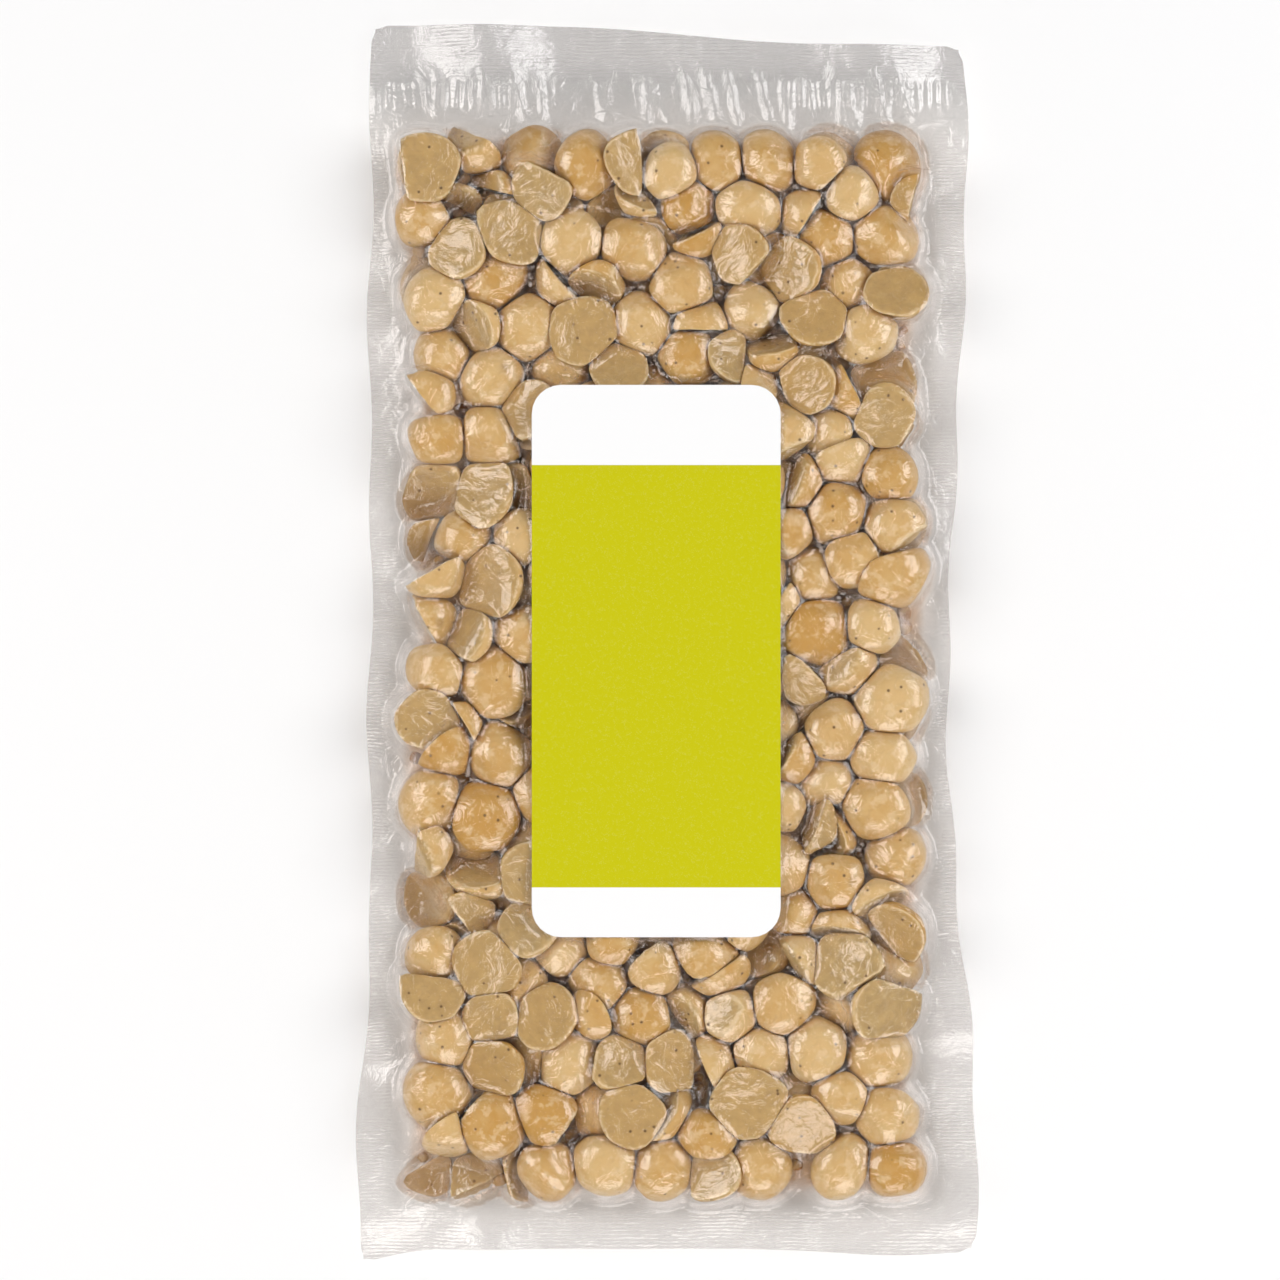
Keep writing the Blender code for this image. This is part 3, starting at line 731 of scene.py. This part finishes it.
def lattice_faces(rings, sides, count):
    """Faces of many closed lumps with the points of ring_directions, one after another: quads between rings,
    and triangles, whose last index is -1, to the two poles."""
    ring, side = np.arange(rings - 1)[:, None] * sides, np.arange(sides)[None]
    after = (side + 1) % sides
    below = ring + sides
    quads = np.stack([ring + side, below + side, below + after, ring + after], axis=2).reshape(-1, 4)
    side, after, blank = side[0], after[0], np.full(sides, -1)
    top, last = rings * sides, (rings - 1) * sides
    upper = np.stack([np.full(sides, top), side, after, blank], axis=1)
    lower = np.stack([np.full(sides, top + 1), last + after, last + side, blank], axis=1)
    one = np.vstack([quads, upper, lower])
    shift = np.arange(count)[:, None, None] * (top + 2)
    return np.where(one[None] < 0, -1, one[None] + shift).reshape(-1, 4)


def kernel_chart():
    """Map places of one kernel's face corners, from 0 to 1: across by turn and down by ring."""
    ring = (np.arange(KERNEL_RINGS - 1)[:, None] + 1.0) / (KERNEL_RINGS + 1.0)
    below = ring + 1.0 / (KERNEL_RINGS + 1.0)
    side = np.arange(KERNEL_SIDES)[None] / KERNEL_SIDES
    after = side + 1.0 / KERNEL_SIDES
    corners = [(side, ring), (side, below), (after, below), (after, ring)]
    quads = np.stack([np.stack(np.broadcast_arrays(u, v), axis=2) for u, v in corners], axis=2).reshape(-1, 2)
    side, after = side[0], after[0]
    first = 1.0 / (KERNEL_RINGS + 1.0)
    upper = [(0.5 * (side + after), 0.0 * side), (side, first + 0.0 * side), (after, first + 0.0 * side)]
    lower = [(u, 1.0 - v) for u, v in (upper[0], upper[2], upper[1])]
    fans = [np.stack([np.stack(place, axis=1) for place in fan], axis=1) for fan in (upper, lower)]
    return np.vstack([quads, *(fan.reshape(-1, 2) for fan in fans)])


def kernel_material(settings):
    """Waxy nut flesh: creamy to golden skin by kernel, duller grainy broken faces with pale rims, specks and
    scars, and painted shade that darkens them to brown down in the crevices."""
    material, tree, coords = new_material("kernel flesh")
    cut, rim, tint, scar, depth = attributes_of(tree, "cut rim tint scar depth")
    grains, fine = grain(tree, 1300.0, 0.5)[0], grain(tree, 4200.0, 0.4)[0]
    blotch = noise(tree, coords, 210.0, 4.0, 0.6, 0.6)
    tone = band(tree, tint + (blotch - 0.5) * 1.5, 0.0, 1.0)
    scuffed = band(tree, noise(tree, coords, 300.0, 5.0, 0.65), 0.53, 0.60) * 0.9
    skin = mix_color(tree, tone, settings.pale, settings.golden)
    skin = mix_color(tree, scuffed * grains, skin, settings.rim)
    patches = band(tree, noise(tree, coords, 380.0, 5.0, 0.65), 0.3, 0.7)
    face = mix_color(tree, patches, settings.broken, [0.74 * share for share in settings.broken])
    face = mix_color(tree, tint * 0.4, face, settings.golden)
    color = mix_color(tree, cut, skin, face)
    deeper = mix_color(tree, 0.45, color, settings.golden)
    color = mix_color(tree, band(tree, fine, 0.46, 0.30), color, deeper)
    worn = band(tree, rim + (grains - 0.5) * 2.2, 0.45, 0.85) * 0.85
    color = mix_color(tree, worn, color, settings.rim)
    color = mix_color(tree, scar * 0.6, color, SCAR_BROWN)
    specks = node(tree, "ShaderNodeTexVoronoi", {"Vector": coords, "Scale": 360.0, "Randomness": 1.0})
    rare = node(tree, "ShaderNodeSeparateColor", {0: specks.outputs["Color"]}).outputs[0]
    speck = band(tree, specks.outputs["Distance"], 0.17, 0.11) * band(tree, rare, 0.62, 0.64)
    color = mix_color(tree, speck * 0.8, color, SPECK_BROWN)
    # Painted shade: surfaces low in the crevices are mixed towards a dark brown
    color = mix_color(tree, depth, color, mix_color(tree, 0.62, color, CREVICE_SHADE_BROWN))
    height = (grains + blotch * 1.2) * (cut * 0.9 + 0.45)
    bump = node(tree, "ShaderNodeBump", {"Height": height, "Strength": 0.5, "Distance": 0.0005})
    show(
        tree, "ShaderNodeBsdfPrincipled",
        {"Base Color": color, "Roughness": mix_field(tree, cut, 0.50, 0.66), "Normal": bump.outputs[0],
         "Subsurface Weight": 0.30, "Subsurface Radius": (1.0, 0.62, 0.30), "Subsurface Scale": 0.0018,
         "IOR": 1.45},
    )
    return material


class KERNELS_OT_lay(bpy.types.Operator):
    """Lay the kernels: wholes, halves, wedges and chips, each with its own shape, in bands along the pouch"""

    bl_idname = "pouch.lay_kernels"
    bl_label = "Lay kernels"

    def execute(self, context):
        settings = context.scene.kernel_settings
        kernels, centres, planes = bed()
        rng = np.random.default_rng(SEED + 1)
        directions = ring_directions(ring_angles(), KERNEL_SIDES)
        points, cut, rim, scar = finished_points(kernels, centres, planes, directions, settings.swell, rng)
        count = len(centres)
        tint = np.clip(rng.normal(0.42, 0.32, count), 0.0, 1.0)
        height = points[..., 2]
        # Painted shade in the crevices: stronger the lower a point lies below 12.5 mm, fading out again under
        # 3.4 mm so that the underside stays light
        depth = 0.9 * (1.0 - ramp(height, 0.003, 0.0125)) * ramp(height, 0.0006, 0.0034)
        material = kernel_material(settings)
        bed_length = BED_HEAD - BED_FOOT
        band_of = np.clip(((BED_HEAD - centres[:, 1]) / bed_length * BANDS).astype(int), 0, BANDS - 1)
        middles = {name: 0.5 * (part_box(name)[0][1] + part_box(name)[1][1]) for name in KERNEL_NODES}
        chart = CHART_MARGIN + (1.0 - 2.0 * CHART_MARGIN) * kernel_chart()
        for b in range(BANDS):
            chosen = np.flatnonzero(band_of == b)
            faces = lattice_faces(KERNEL_RINGS, KERNEL_SIDES, len(chosen))
            values = {"cut": cut[chosen], "rim": rim[chosen], "scar": scar[chosen], "depth": depth[chosen]}
            values["tint"] = np.repeat(tint[chosen], points.shape[1])
            chosen_points = points[chosen].reshape(-1, 3)
            piece = mesh_object(f"kernels_band_{b + 1:02d}", chosen_points, faces, material, values)
            wide = math.ceil(math.sqrt(len(chosen)))
            cells = np.stack([np.arange(len(chosen)) % wide, np.arange(len(chosen)) // wide], axis=1)
            add_bake_map(piece.data, ((cells[:, None] + chart[None]) / wide).reshape(-1, 2))
            high, low = BED_HEAD - b * bed_length / BANDS, BED_HEAD - (b + 1) * bed_length / BANDS
            stands_for = [name for name, y in middles.items() if low < y <= high]
            if stands_for:
                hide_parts(*stands_for)
            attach(piece, "root")
        return {"FINISHED"}


class CHIPS_OT_scatter(bpy.types.Operator):
    """Scatter small chips of kernel on the back film, where the bed leaves gaps"""

    bl_idname = "pouch.scatter_chips"
    bl_label = "Scatter chips"

    def execute(self, context):
        settings = context.scene.kernel_settings
        maps = draped_films(context.scene.pouch_settings.cling, settings.swell)
        x, y = np.meshgrid(maps["x"], maps["y"], indexing="ij")
        open_cells = np.argwhere((maps["tops"] < 0.0045) & (bed_distance(x, y) < -0.0035))
        rng = np.random.default_rng(SEED + 2)
        rng.shuffle(open_cells)
        spots = np.stack([maps["x"][open_cells[:, 0]], maps["y"][open_cells[:, 1]]], axis=1)[:CHIP_SPOTS]
        near = np.linalg.norm(spots[:, None] - spots[None], axis=2) < CHIP_SPACING
        spots = spots[~np.tril(near, -1).any(axis=1)]
        count = len(spots)
        directions = sphere_directions(CHIP_RINGS, CHIP_SIDES)
        size = rng.uniform(0.0014, 0.0026, (count, 1, 1)) * rng.uniform(0.6, 1.1, (count, 1, 3))
        reach = 1.0 + 0.22 * lumps(rng, directions, count, 3, 1.5, 4.0)
        facing = rng.normal(0.0, 1.0, (count, 3))
        turns = turned(facing, rng.uniform(0.0, 2.0 * math.pi, count))
        points = np.einsum("nij,nvj->nvi", turns, size * reach[..., None] * directions[None])
        points[..., :2] += spots[:, None]
        points[..., 2] += rng.uniform(0.0024, 0.0050, (count, 1))
        points[..., 2] = np.maximum(points[..., 2], CHIP_REST)
        many = np.full(points[..., 0].shape, 0.7)
        # The chips lying in gaps get an even share of the painted crevice shade
        values = {"cut": many, "rim": 0.0 * many, "scar": 0.0 * many, "depth": many}
        values["tint"] = np.broadcast_to(rng.random((count, 1)), many.shape)
        material = bpy.data.materials["kernel flesh"]
        faces = lattice_faces(CHIP_RINGS, CHIP_SIDES, count)
        piece = mesh_object("gap_chips", points.reshape(-1, 3), faces, material, values)
        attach(piece, "root")
        return {"FINISHED"}


@functools.cache
def bed():
    """The settled kernels, their centres and the planes where they press each other."""
    kernels = draw_kernels(np.random.default_rng(SEED))
    centres = settle(kernels)
    return kernels, centres, contact_planes(kernels, centres)


# ---- films


def side_edges(y):
    """The pouch's left and right edges: flared at the foot, drawn in at the right waist, with small waves."""
    flare = FOOT_FLARE * ramp(-y, 0.060, 0.135)
    waist = RIGHT_WAIST * np.exp(-(((y + 0.005) / 0.060) ** 2))
    left = -POUCH_LEFT - flare + SCALLOP * (np.sin(128.0 * y + 0.7) + 0.6 * np.sin(67.0 * y))
    right = POUCH_RIGHT + flare - waist + SCALLOP * (np.sin(141.0 * y + 2.0) + 0.6 * np.sin(59.0 * y + 1.0))
    return left, right


def end_edges(x):
    """The closed foot and open lip: the lip steps down to the right, and the foot hangs out at its left."""
    foot = -POUCH_LENGTH / 2 - FOOT_CORNER * np.exp(-(((x + 0.078) / 0.014) ** 2))
    foot = foot - 0.4 * FOOT_CORNER * np.exp(-(((x - 0.055) / 0.020) ** 2))
    lip = POUCH_LENGTH / 2 - LIP_SLOPE * np.tanh((x - 0.005) / 0.025)
    return foot, lip


def pouch_plan(u, v):
    """Plan positions for grid coordinates from -1 to 1 across and along, with the outline's middle at the
    origin and its corners rounded off."""
    span = np.linspace(-1.0, 1.0, 801)
    sides, ends = side_edges(span * POUCH_LENGTH / 2), end_edges(span * POUCH_LEFT)
    middle_x = 0.5 * (sides[0].min() + sides[1].max())
    middle_y = 0.5 * (ends[0].min() + ends[1].max())
    left, right = side_edges(v * POUCH_LENGTH / 2)
    foot, lip = end_edges(u * POUCH_LEFT)
    x = left + (right - left) * (u + 1.0) / 2.0 - middle_x
    y = foot + (lip - foot) * (v + 1.0) / 2.0 - middle_y
    corner = ramp(np.abs(u), 0.94, 1.0) * ramp(np.abs(v), 0.97, 1.0)
    return x - CORNER_ROUNDING * np.sign(u) * corner, y - CORNER_ROUNDING * np.sign(v) * corner


def bed_distance(x, y):
    """How far a plan position is outside the kernel bed's outline, negative inside."""
    over_x = np.maximum(left_wall(y) - x, x - right_wall(y))
    over_y = np.maximum(BED_FOOT - y, y - BED_HEAD)
    outside = np.hypot(np.maximum(over_x, 0.0), np.maximum(over_y, 0.0))
    return outside + np.minimum(np.maximum(over_x, over_y), 0.0)


def flange_height(x, y):
    """The welded seal's own height: slow waves that grow outwards, short ripples along the sides, and the big
    soft folds of the open lip and the foot."""
    out = ramp(bed_distance(x, y), 0.0, 0.012)
    side = ramp(np.abs(x), 0.058, 0.070)
    z = FLANGE_HEIGHT + out * SLOW_WAVES * (value_noise(x, y, 0.040, 0.026, 3) - 0.5)
    z = z + side * out * SIDE_FOLDS * (value_noise(x, y, 0.050, 0.0095, 4) - 0.5)
    lip = ramp(y, 0.128, 0.150)
    z = z + lip * LIP_FOLDS * (value_noise(x + 0.3 * y, y, 0.019, 0.070, 5) - 0.5)
    foot = ramp(-y, 0.138, 0.150)
    return z + foot * FOOT_FOLDS * (value_noise(x, y, 0.015, 0.060, 6) - 0.5)


def top_map(points, x_edges, y_edges):
    """The highest point over each cell of a regular grid, spread by one cell each way."""
    tall = np.full((len(x_edges), len(y_edges)), -1.0)
    pitch = x_edges[1] - x_edges[0]
    column = np.round((points[:, 0] - x_edges[0]) / pitch).astype(int)
    row = np.round((points[:, 1] - y_edges[0]) / pitch).astype(int)
    np.maximum.at(tall, (column, row), points[:, 2])
    for axis in (0, 1):
        tall = np.maximum(tall, np.maximum(np.roll(tall, 1, axis), np.roll(tall, -1, axis)))
    return tall


def shrink(support, start, load):
    """A film under even pressure over a support: each step moves every point to its neighbours' mean less a
    load, but never below the support."""
    z = start.copy()
    for _ in range(SHRINK_STEPS):
        mean = 0.25 * (np.roll(z, 1, 0) + np.roll(z, -1, 0) + np.roll(z, 1, 1) + np.roll(z, -1, 1))
        z = np.maximum(support, mean - load)
    return z


def read_map(values, x_edges, y_edges, x, y):
    """Values of a regular grid at any positions, straight between its points."""
    pitch = x_edges[1] - x_edges[0]
    gx = np.clip((x - x_edges[0]) / pitch, 0.0, len(x_edges) - 1.001)
    gy = np.clip((y - y_edges[0]) / pitch, 0.0, len(y_edges) - 1.001)
    ix, iy = gx.astype(int), gy.astype(int)
    fx, fy = gx - ix, gy - iy
    near = values[ix, iy] * (1.0 - fx) + values[ix + 1, iy] * fx
    far = values[ix, iy + 1] * (1.0 - fx) + values[ix + 1, iy + 1] * fx
    return near * (1.0 - fy) + far * fy


def inside_label(x, y, margin):
    """1 inside the label's rounded outline grown by a margin, else 0."""
    corner = LABEL_CORNER + margin
    middle, half = 0.5 * (LABEL_LOW + LABEL_HIGH), 0.5 * (LABEL_HIGH - LABEL_LOW) + margin
    over_x = np.maximum(np.abs(x - middle[0]) - half[0] + corner, 0.0)
    over_y = np.maximum(np.abs(y - middle[1]) - half[1] + corner, 0.0)
    return np.hypot(over_x, over_y) < corner


@functools.cache
def draped_films(cling, swell):
    """Both films' height maps: the kernels' tops and bottoms as supports, films shrunk on them by the same
    pressure, flat under the label and on the floor. With them go how free the front film is of the kernels,
    where gaps lie over the back film, and the kernels' tops."""
    kernels, centres, planes = bed()
    rng = np.random.default_rng(SEED + 1)
    directions = sphere_directions(48, 64)
    points = finished_points(kernels, centres, planes, directions, swell, rng)[0].reshape(-1, 3)
    x_edges = np.arange(CAD_LOW[0] - 0.002, CAD_HIGH[0] + 0.002, DRAPE_PITCH)
    y_edges = np.arange(CAD_LOW[1] - 0.002, CAD_HIGH[1] + 0.002, DRAPE_PITCH)
    x, y = np.meshgrid(x_edges, y_edges, indexing="ij")
    seal = flange_height(x, y)
    away = bed_distance(x, y)
    load = cling * (1.0 + 1.6 * ramp(away, -0.004, 0.002)) * DRAPE_PITCH**2 / 4.0
    label = inside_label(x, y, 0.0002)
    tops = np.where(label, LABEL_LOW[2] - WELD_GAP, top_map(points, x_edges, y_edges) + FILM_GAP)
    support = np.maximum(tops, seal + WELD_GAP)
    start = np.where(away < 0.003, BED_HIGH + 0.0005, seal + WELD_GAP)
    front = shrink(support, np.maximum(start, support), load)
    points[:, 2] *= -1.0
    bottoms = top_map(points, x_edges, y_edges) + FILM_GAP
    # Where the back film lies under gaps in the bed: the mask of its painted shade
    gap = ramp(-bottoms, 0.0015, 0.0050) * (1.0 - ramp(away, -0.004, 0.0))
    under = np.maximum(bottoms, -(seal - WELD_GAP))
    back = -shrink(under, np.maximum(np.where(away < 0.003, 0.0, -(seal - WELD_GAP)), under), load)
    back = np.maximum(back, BACK_REST)
    free = np.clip((front - tops) / 0.0012, 0.0, 1.0) * (tops > -0.5) * ~label
    return {"x": x_edges, "y": y_edges, "front": front, "back": back, "free": free, "gap": gap, "tops": tops}


def film_material(settings):
    """Clear laminate: what passes it is faintly tinted, its gloss follows Fresnel, and the seals are ribbed
    and milky. As painted shade, the back film is tinted brown under gaps in the bed, and the milky haze is
    browned where the film bridges gaps. Light on its way to the kernels passes almost untouched."""
    material, tree, coords = new_material("clear laminate")
    seal, crease, free, ticks, under, weld = attributes_of(tree, "seal crease free ticks under weld")
    x, y = (Field(tree, socket) for socket in node(tree, "ShaderNodeSeparateXYZ", {0: coords}).outputs[:2])
    wander = noise(tree, coords, 90.0) * 0.0016
    ribs = math_field(tree, "SINE", (y + wander) * (2.0 * math.pi / settings.rib_pitch)) * seal
    ribs = ribs * band(tree, noise(tree, coords, 70.0), 0.35, 0.60)
    marks = math_field(tree, "SINE", (x + wander) * (2.0 * math.pi / TICK_PITCH)) * ticks
    waves = noise(tree, coords, 190.0, 3.0, 0.55, 1.2)
    level = noise(tree, coords, 150.0, 2.0, 0.5, 1.6)
    line = band(tree, abs(level - 0.5), 0.020, 0.002) * (free + 0.12)
    height = ribs * 0.045 + grain(tree, 1150.0, 0.45)[0] * 0.085 + waves * 0.80 + line * 0.16 + marks * 0.19
    bump = node(tree, "ShaderNodeBump", {"Height": height, "Strength": 0.75, "Distance": 0.0009}).outputs[0]
    # Painted shade: the back film is tinted brown under gaps in the bed
    gap_shaded = mix_color(tree, under, settings.film_tint, settings.gap_shade_tint)
    tint = mix_color(tree, weld, gap_shaded, settings.weld_tint)
    to_light = Field(tree, node(tree, "ShaderNodeLightPath").outputs["Is Shadow Ray"])
    clear = node(tree, "ShaderNodeBsdfTransparent", {"Color": mix_color(tree, to_light * 0.9, tint, WHITE)})
    gleam = mix_color(tree, free, GLEAM_WHITE, GLEAM_ON_NUTS)
    rough = mix_field(tree, seal, 0.075, 0.22)
    gloss = node(tree, "ShaderNodeBsdfGlossy", {"Color": gleam, "Roughness": rough, "Normal": bump})
    fresnel = Field(tree, node(tree, "ShaderNodeFresnel", {"IOR": 1.5, "Normal": bump}).outputs[0])
    shine = math_field(tree, "MINIMUM", fresnel * 2.0, 0.42) * (1.0 - to_light)
    coat = node(tree, "ShaderNodeMixShader", {0: shine, 1: clear.outputs[0], 2: gloss.outputs[0]})
    # The haze is real milkiness, but it is browned over gaps as painted shade
    milky = mix_color(tree, free, MILK_WHITE, MILK_SHADED_OVER_GAPS)
    milk = node(
        tree, "ShaderNodeBsdfPrincipled", {"Base Color": milky, "Roughness": 0.5, "Normal": bump, "IOR": 1.45}
    )
    haze = (seal * 0.14 + crease * 0.10 + line * 0.30 + ribs * 0.065) * (1.0 - to_light)
    show(tree, "ShaderNodeMixShader", {0: haze, 1: coat.outputs[0], 2: milk.outputs[0]})
    return material


def film_piece(name, maps, which, material, settings):
    """One film as a grid over the pouch's plan: its height is read from the shrunk map, with small wrinkles
    where it bridges gaps."""
    columns = int(round((CAD_HIGH[0] - CAD_LOW[0]) / FILM_PITCH))
    rows = int(round((CAD_HIGH[1] - CAD_LOW[1]) / FILM_PITCH))
    u, v = np.meshgrid(np.linspace(-1.0, 1.0, columns), np.linspace(-1.0, 1.0, rows), indexing="ij")
    x, y = pouch_plan(u, v)
    z = read_map(maps[which], maps["x"], maps["y"], x, y)
    free = read_map(maps["free"], maps["x"], maps["y"], x, y)
    away = bed_distance(x, y)
    folds = ridges(x, y, 0.0042, 0.0042, 21) + 0.6 * ridges(x, y, 0.0021, 0.0021, 22)
    head = ramp(y, BED_HEAD - 0.002, BED_HEAD + 0.004) * ramp(-away, -0.020, -0.012)
    pleats = ridges(x + 0.25 * y, y, 0.0060, 0.0200, 23, 4.0)
    shallow = ramp(away, -0.001, 0.004)
    out = ramp(away, 0.002, 0.007)
    if which == "front":
        z = z + settings.wrinkle * folds * free * (1.0 - shallow) + PLEATS * pleats * head
        z = z + PUCKERS * ramp(away, -0.002, 0.001) * (1.0 - out) * ridges(x, y, 0.006, 0.006, 24)
    seal = out * (1.0 - head)
    crease = np.clip(free * (1.0 - shallow) * folds, 0.0, 1.0) ** 2 + 0.35 * head * pleats
    points = np.stack([x, y, z], axis=2).reshape(-1, 3)
    faces = grid_faces(columns, rows, flip=which == "back")
    values = {"seal": seal.ravel(), "crease": np.clip(crease, 0.0, 1.0).ravel()}
    milky = 0.46 + 0.54 * ramp(y, 0.128, 0.145)
    values["weld"], values["free"] = (milky * ramp(away, -0.001, 0.003)).ravel(), free.ravel()
    # The back film's painted shade under gaps in the bed
    values["under"] = read_map(maps["gap"], maps["x"], maps["y"], x, y).ravel() * (which == "back")
    pressed = ramp(y, *TICK_IN) * (1.0 - ramp(y, *TICK_OUT)) * (np.abs(x) < TICK_REACH)
    values["ticks"] = (pressed * (0.25 + 0.75 * ramp(np.abs(x + 0.004), 0.028, 0.036))).ravel()
    piece = mesh_object(name, points, faces, material, values)
    places = np.stack([0.5 + 0.5 * u.ravel(), 0.5 + 0.5 * v.ravel()], axis=1)
    add_bake_map(piece.data, places[faces.ravel()])
    return piece


class FILMS_OT_shrink(bpy.types.Operator):
    """Shrink the front and back films over the kernels, and weld them in the ribbed seals"""

    bl_idname = "pouch.shrink_films"
    bl_label = "Shrink films"

    def execute(self, context):
        settings = context.scene.pouch_settings
        maps = draped_films(settings.cling, context.scene.kernel_settings.swell)
        material = film_material(settings)
        for which in ("front", "back"):
            piece = film_piece(f"{which}_film_shrunk", maps, which, material, settings)
            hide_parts(f"{which}_film")
            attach(piece, "root")
        return {"FINISHED"}


# ---- label


def label_material(settings):
    """Coated paper: a bare lime band between two bare white ones, with a faint grain."""
    material, tree, coords = new_material("coated label")
    y = node(tree, "ShaderNodeSeparateXYZ", {0: coords}).outputs["Y"]
    head, foot = LABEL_HIGH[1] - settings.top_band, LABEL_LOW[1] + settings.foot_band
    below_head = band(tree, y, head + PRINT_EDGE, head - PRINT_EDGE)
    above_foot = band(tree, y, foot - PRINT_EDGE, foot + PRINT_EDGE)
    height, spots = grain(tree, 900.0, 0.6)
    color = mix_color(tree, below_head * above_foot, settings.white, settings.lime)
    color = mix_color(tree, spots * 0.04, color, WHITE)
    bump = node(tree, "ShaderNodeBump", {"Height": height, "Strength": 0.08, "Distance": 0.0002})
    show(
        tree, "ShaderNodeBsdfPrincipled",
        {"Base Color": color, "Roughness": mix_field(tree, height, 0.34, 0.46), "Normal": bump.outputs[0],
         "Specular IOR Level": 0.15},
    )
    return material


class LABEL_OT_stick(bpy.types.Operator):
    """Stick the label on the front film: give the frame's own plate its printed paper"""

    bl_idname = "pouch.stick_label"
    bl_label = "Stick label"

    def execute(self, context):
        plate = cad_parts["label"]
        plate.data.materials.clear()
        plate.data.materials.append(label_material(context.scene.label_settings))
        return {"FINISHED"}


# ---- stage


def softbox(name, place, power, color):
    """A square light at a place, turned to the origin."""
    data = bpy.data.lights.new(name, "AREA")
    data.shape, data.size, data.size_y = "RECTANGLE", SOFTBOX_SIZE, SOFTBOX_SIZE
    data.energy, data.color = power, color
    lamp = bpy.data.objects.new(name, data)
    lamp.location = place
    lamp.rotation_euler = (-Vector(place)).to_track_quat("-Z", "Y").to_euler()
    bpy.context.scene.collection.objects.link(lamp)


def floor_material(settings):
    """Plain pale floor that glows where it is far from the object, so that it is pale to the horizon."""
    material, tree, coords = new_material("pale floor")
    color = mix_color(tree, grain(tree, 40.0, 0.2)[1] * 0.02, settings.floor_color, WHITE)
    away = node(tree, "ShaderNodeVectorMath", {0: coords}, operation="LENGTH").outputs["Value"]
    glow = mix_color(tree, band(tree, away, 0.5, 2.5), (0.0, 0.0, 0.0), (0.78, 0.78, 0.79))
    show(
        tree, "ShaderNodeBsdfPrincipled",
        {"Base Color": color, "Roughness": 0.8, "Emission Color": glow, "Emission Strength": 1.0},
    )
    return material


def pale_room():
    """A world that is bright at the horizon and dim overhead and underfoot."""
    world = bpy.data.worlds.new("pale room")
    world.use_nodes = True
    tree = world.node_tree
    heading = node(tree, "ShaderNodeSeparateXYZ", {0: node(tree, "ShaderNodeTexCoord").outputs["Generated"]})
    height = abs(Field(tree, heading.outputs["Z"]))
    strength = node(
        tree, "ShaderNodeMapRange", {"Value": height, "From Max": 0.5, "To Min": 0.95, "To Max": 0.10}
    )
    background = tree.nodes["Background"]
    background.inputs["Color"].default_value = (0.97, 0.975, 1.0, 1.0)
    tree.links.new(strength.outputs["Result"], background.inputs["Strength"])
    return world


class STAGE_OT_set(bpy.types.Operator):
    """Set the stage: a plain pale floor, soft lights and a camera that looks straight down"""

    bl_idname = "pouch.set_stage"
    bl_label = "Set stage"

    def execute(self, context):
        scene, settings = context.scene, context.scene.stage_settings
        corners = np.array([[-1.0, -1.0, 0.0], [1.0, -1.0, 0.0], [1.0, 1.0, 0.0], [-1.0, 1.0, 0.0]])
        corners = FLOOR_REACH * corners - [0.0, 0.0, FLOOR_DROP]
        floor = mesh_object("floor", corners, np.array([[0, 1, 2, 3]]), floor_material(settings))
        for name, place, share, color in SOFTBOXES:
            softbox(name, place, share * settings.key_power, color)
        scene.world = pale_room()
        scene.view_settings.view_transform = "Standard"
        data = bpy.data.cameras.new("overhead")
        data.sensor_width = SENSOR
        data.lens = SENSOR * settings.camera_height / settings.view_width
        data.clip_end = 20.0
        camera = bpy.data.objects.new("overhead", data)
        camera.location = (*CAMERA_PLACE, settings.camera_height)
        scene.collection.objects.link(camera)
        scene.camera = camera
        return {"FINISHED"}


# ---- panel and registration


class POUCH_PT_panel(bpy.types.Panel):
    """The pouch's operators and settings"""

    bl_idname = "POUCH_PT_panel"
    bl_label = "Vacuum pouch"
    bl_space_type = "VIEW_3D"
    bl_region_type = "UI"
    bl_category = "Pouch"

    def draw(self, context):
        for operator in OPERATORS:
            self.layout.operator(operator.bl_idname)
        for name, group in SETTINGS.items():
            column = self.layout.column()
            for key in group.__annotations__:
                column.prop(getattr(context.scene, name), key)


SETTINGS = {
    "pouch_settings": PouchSettings,
    "kernel_settings": KernelSettings,
    "label_settings": LabelSettings,
    "stage_settings": StageSettings,
}
OPERATORS = (STAGE_OT_set, KERNELS_OT_lay, CHIPS_OT_scatter, FILMS_OT_shrink, LABEL_OT_stick)
CLASSES = (*SETTINGS.values(), *OPERATORS, POUCH_PT_panel)


def register():
    for cls in CLASSES:
        bpy.utils.register_class(cls)
    for name, group in SETTINGS.items():
        setattr(bpy.types.Scene, name, bpy.props.PointerProperty(type=group))


def unregister():
    for name in SETTINGS:
        delattr(bpy.types.Scene, name)
    for cls in reversed(CLASSES):
        bpy.utils.unregister_class(cls)


def main():
    """Registers the add-on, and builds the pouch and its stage."""
    register()
    bpy.ops.pouch.set_stage()
    bpy.ops.pouch.lay_kernels()
    bpy.ops.pouch.scatter_chips()
    bpy.ops.pouch.shrink_films()
    bpy.ops.pouch.stick_label()


if __name__ == "__main__":
    main()
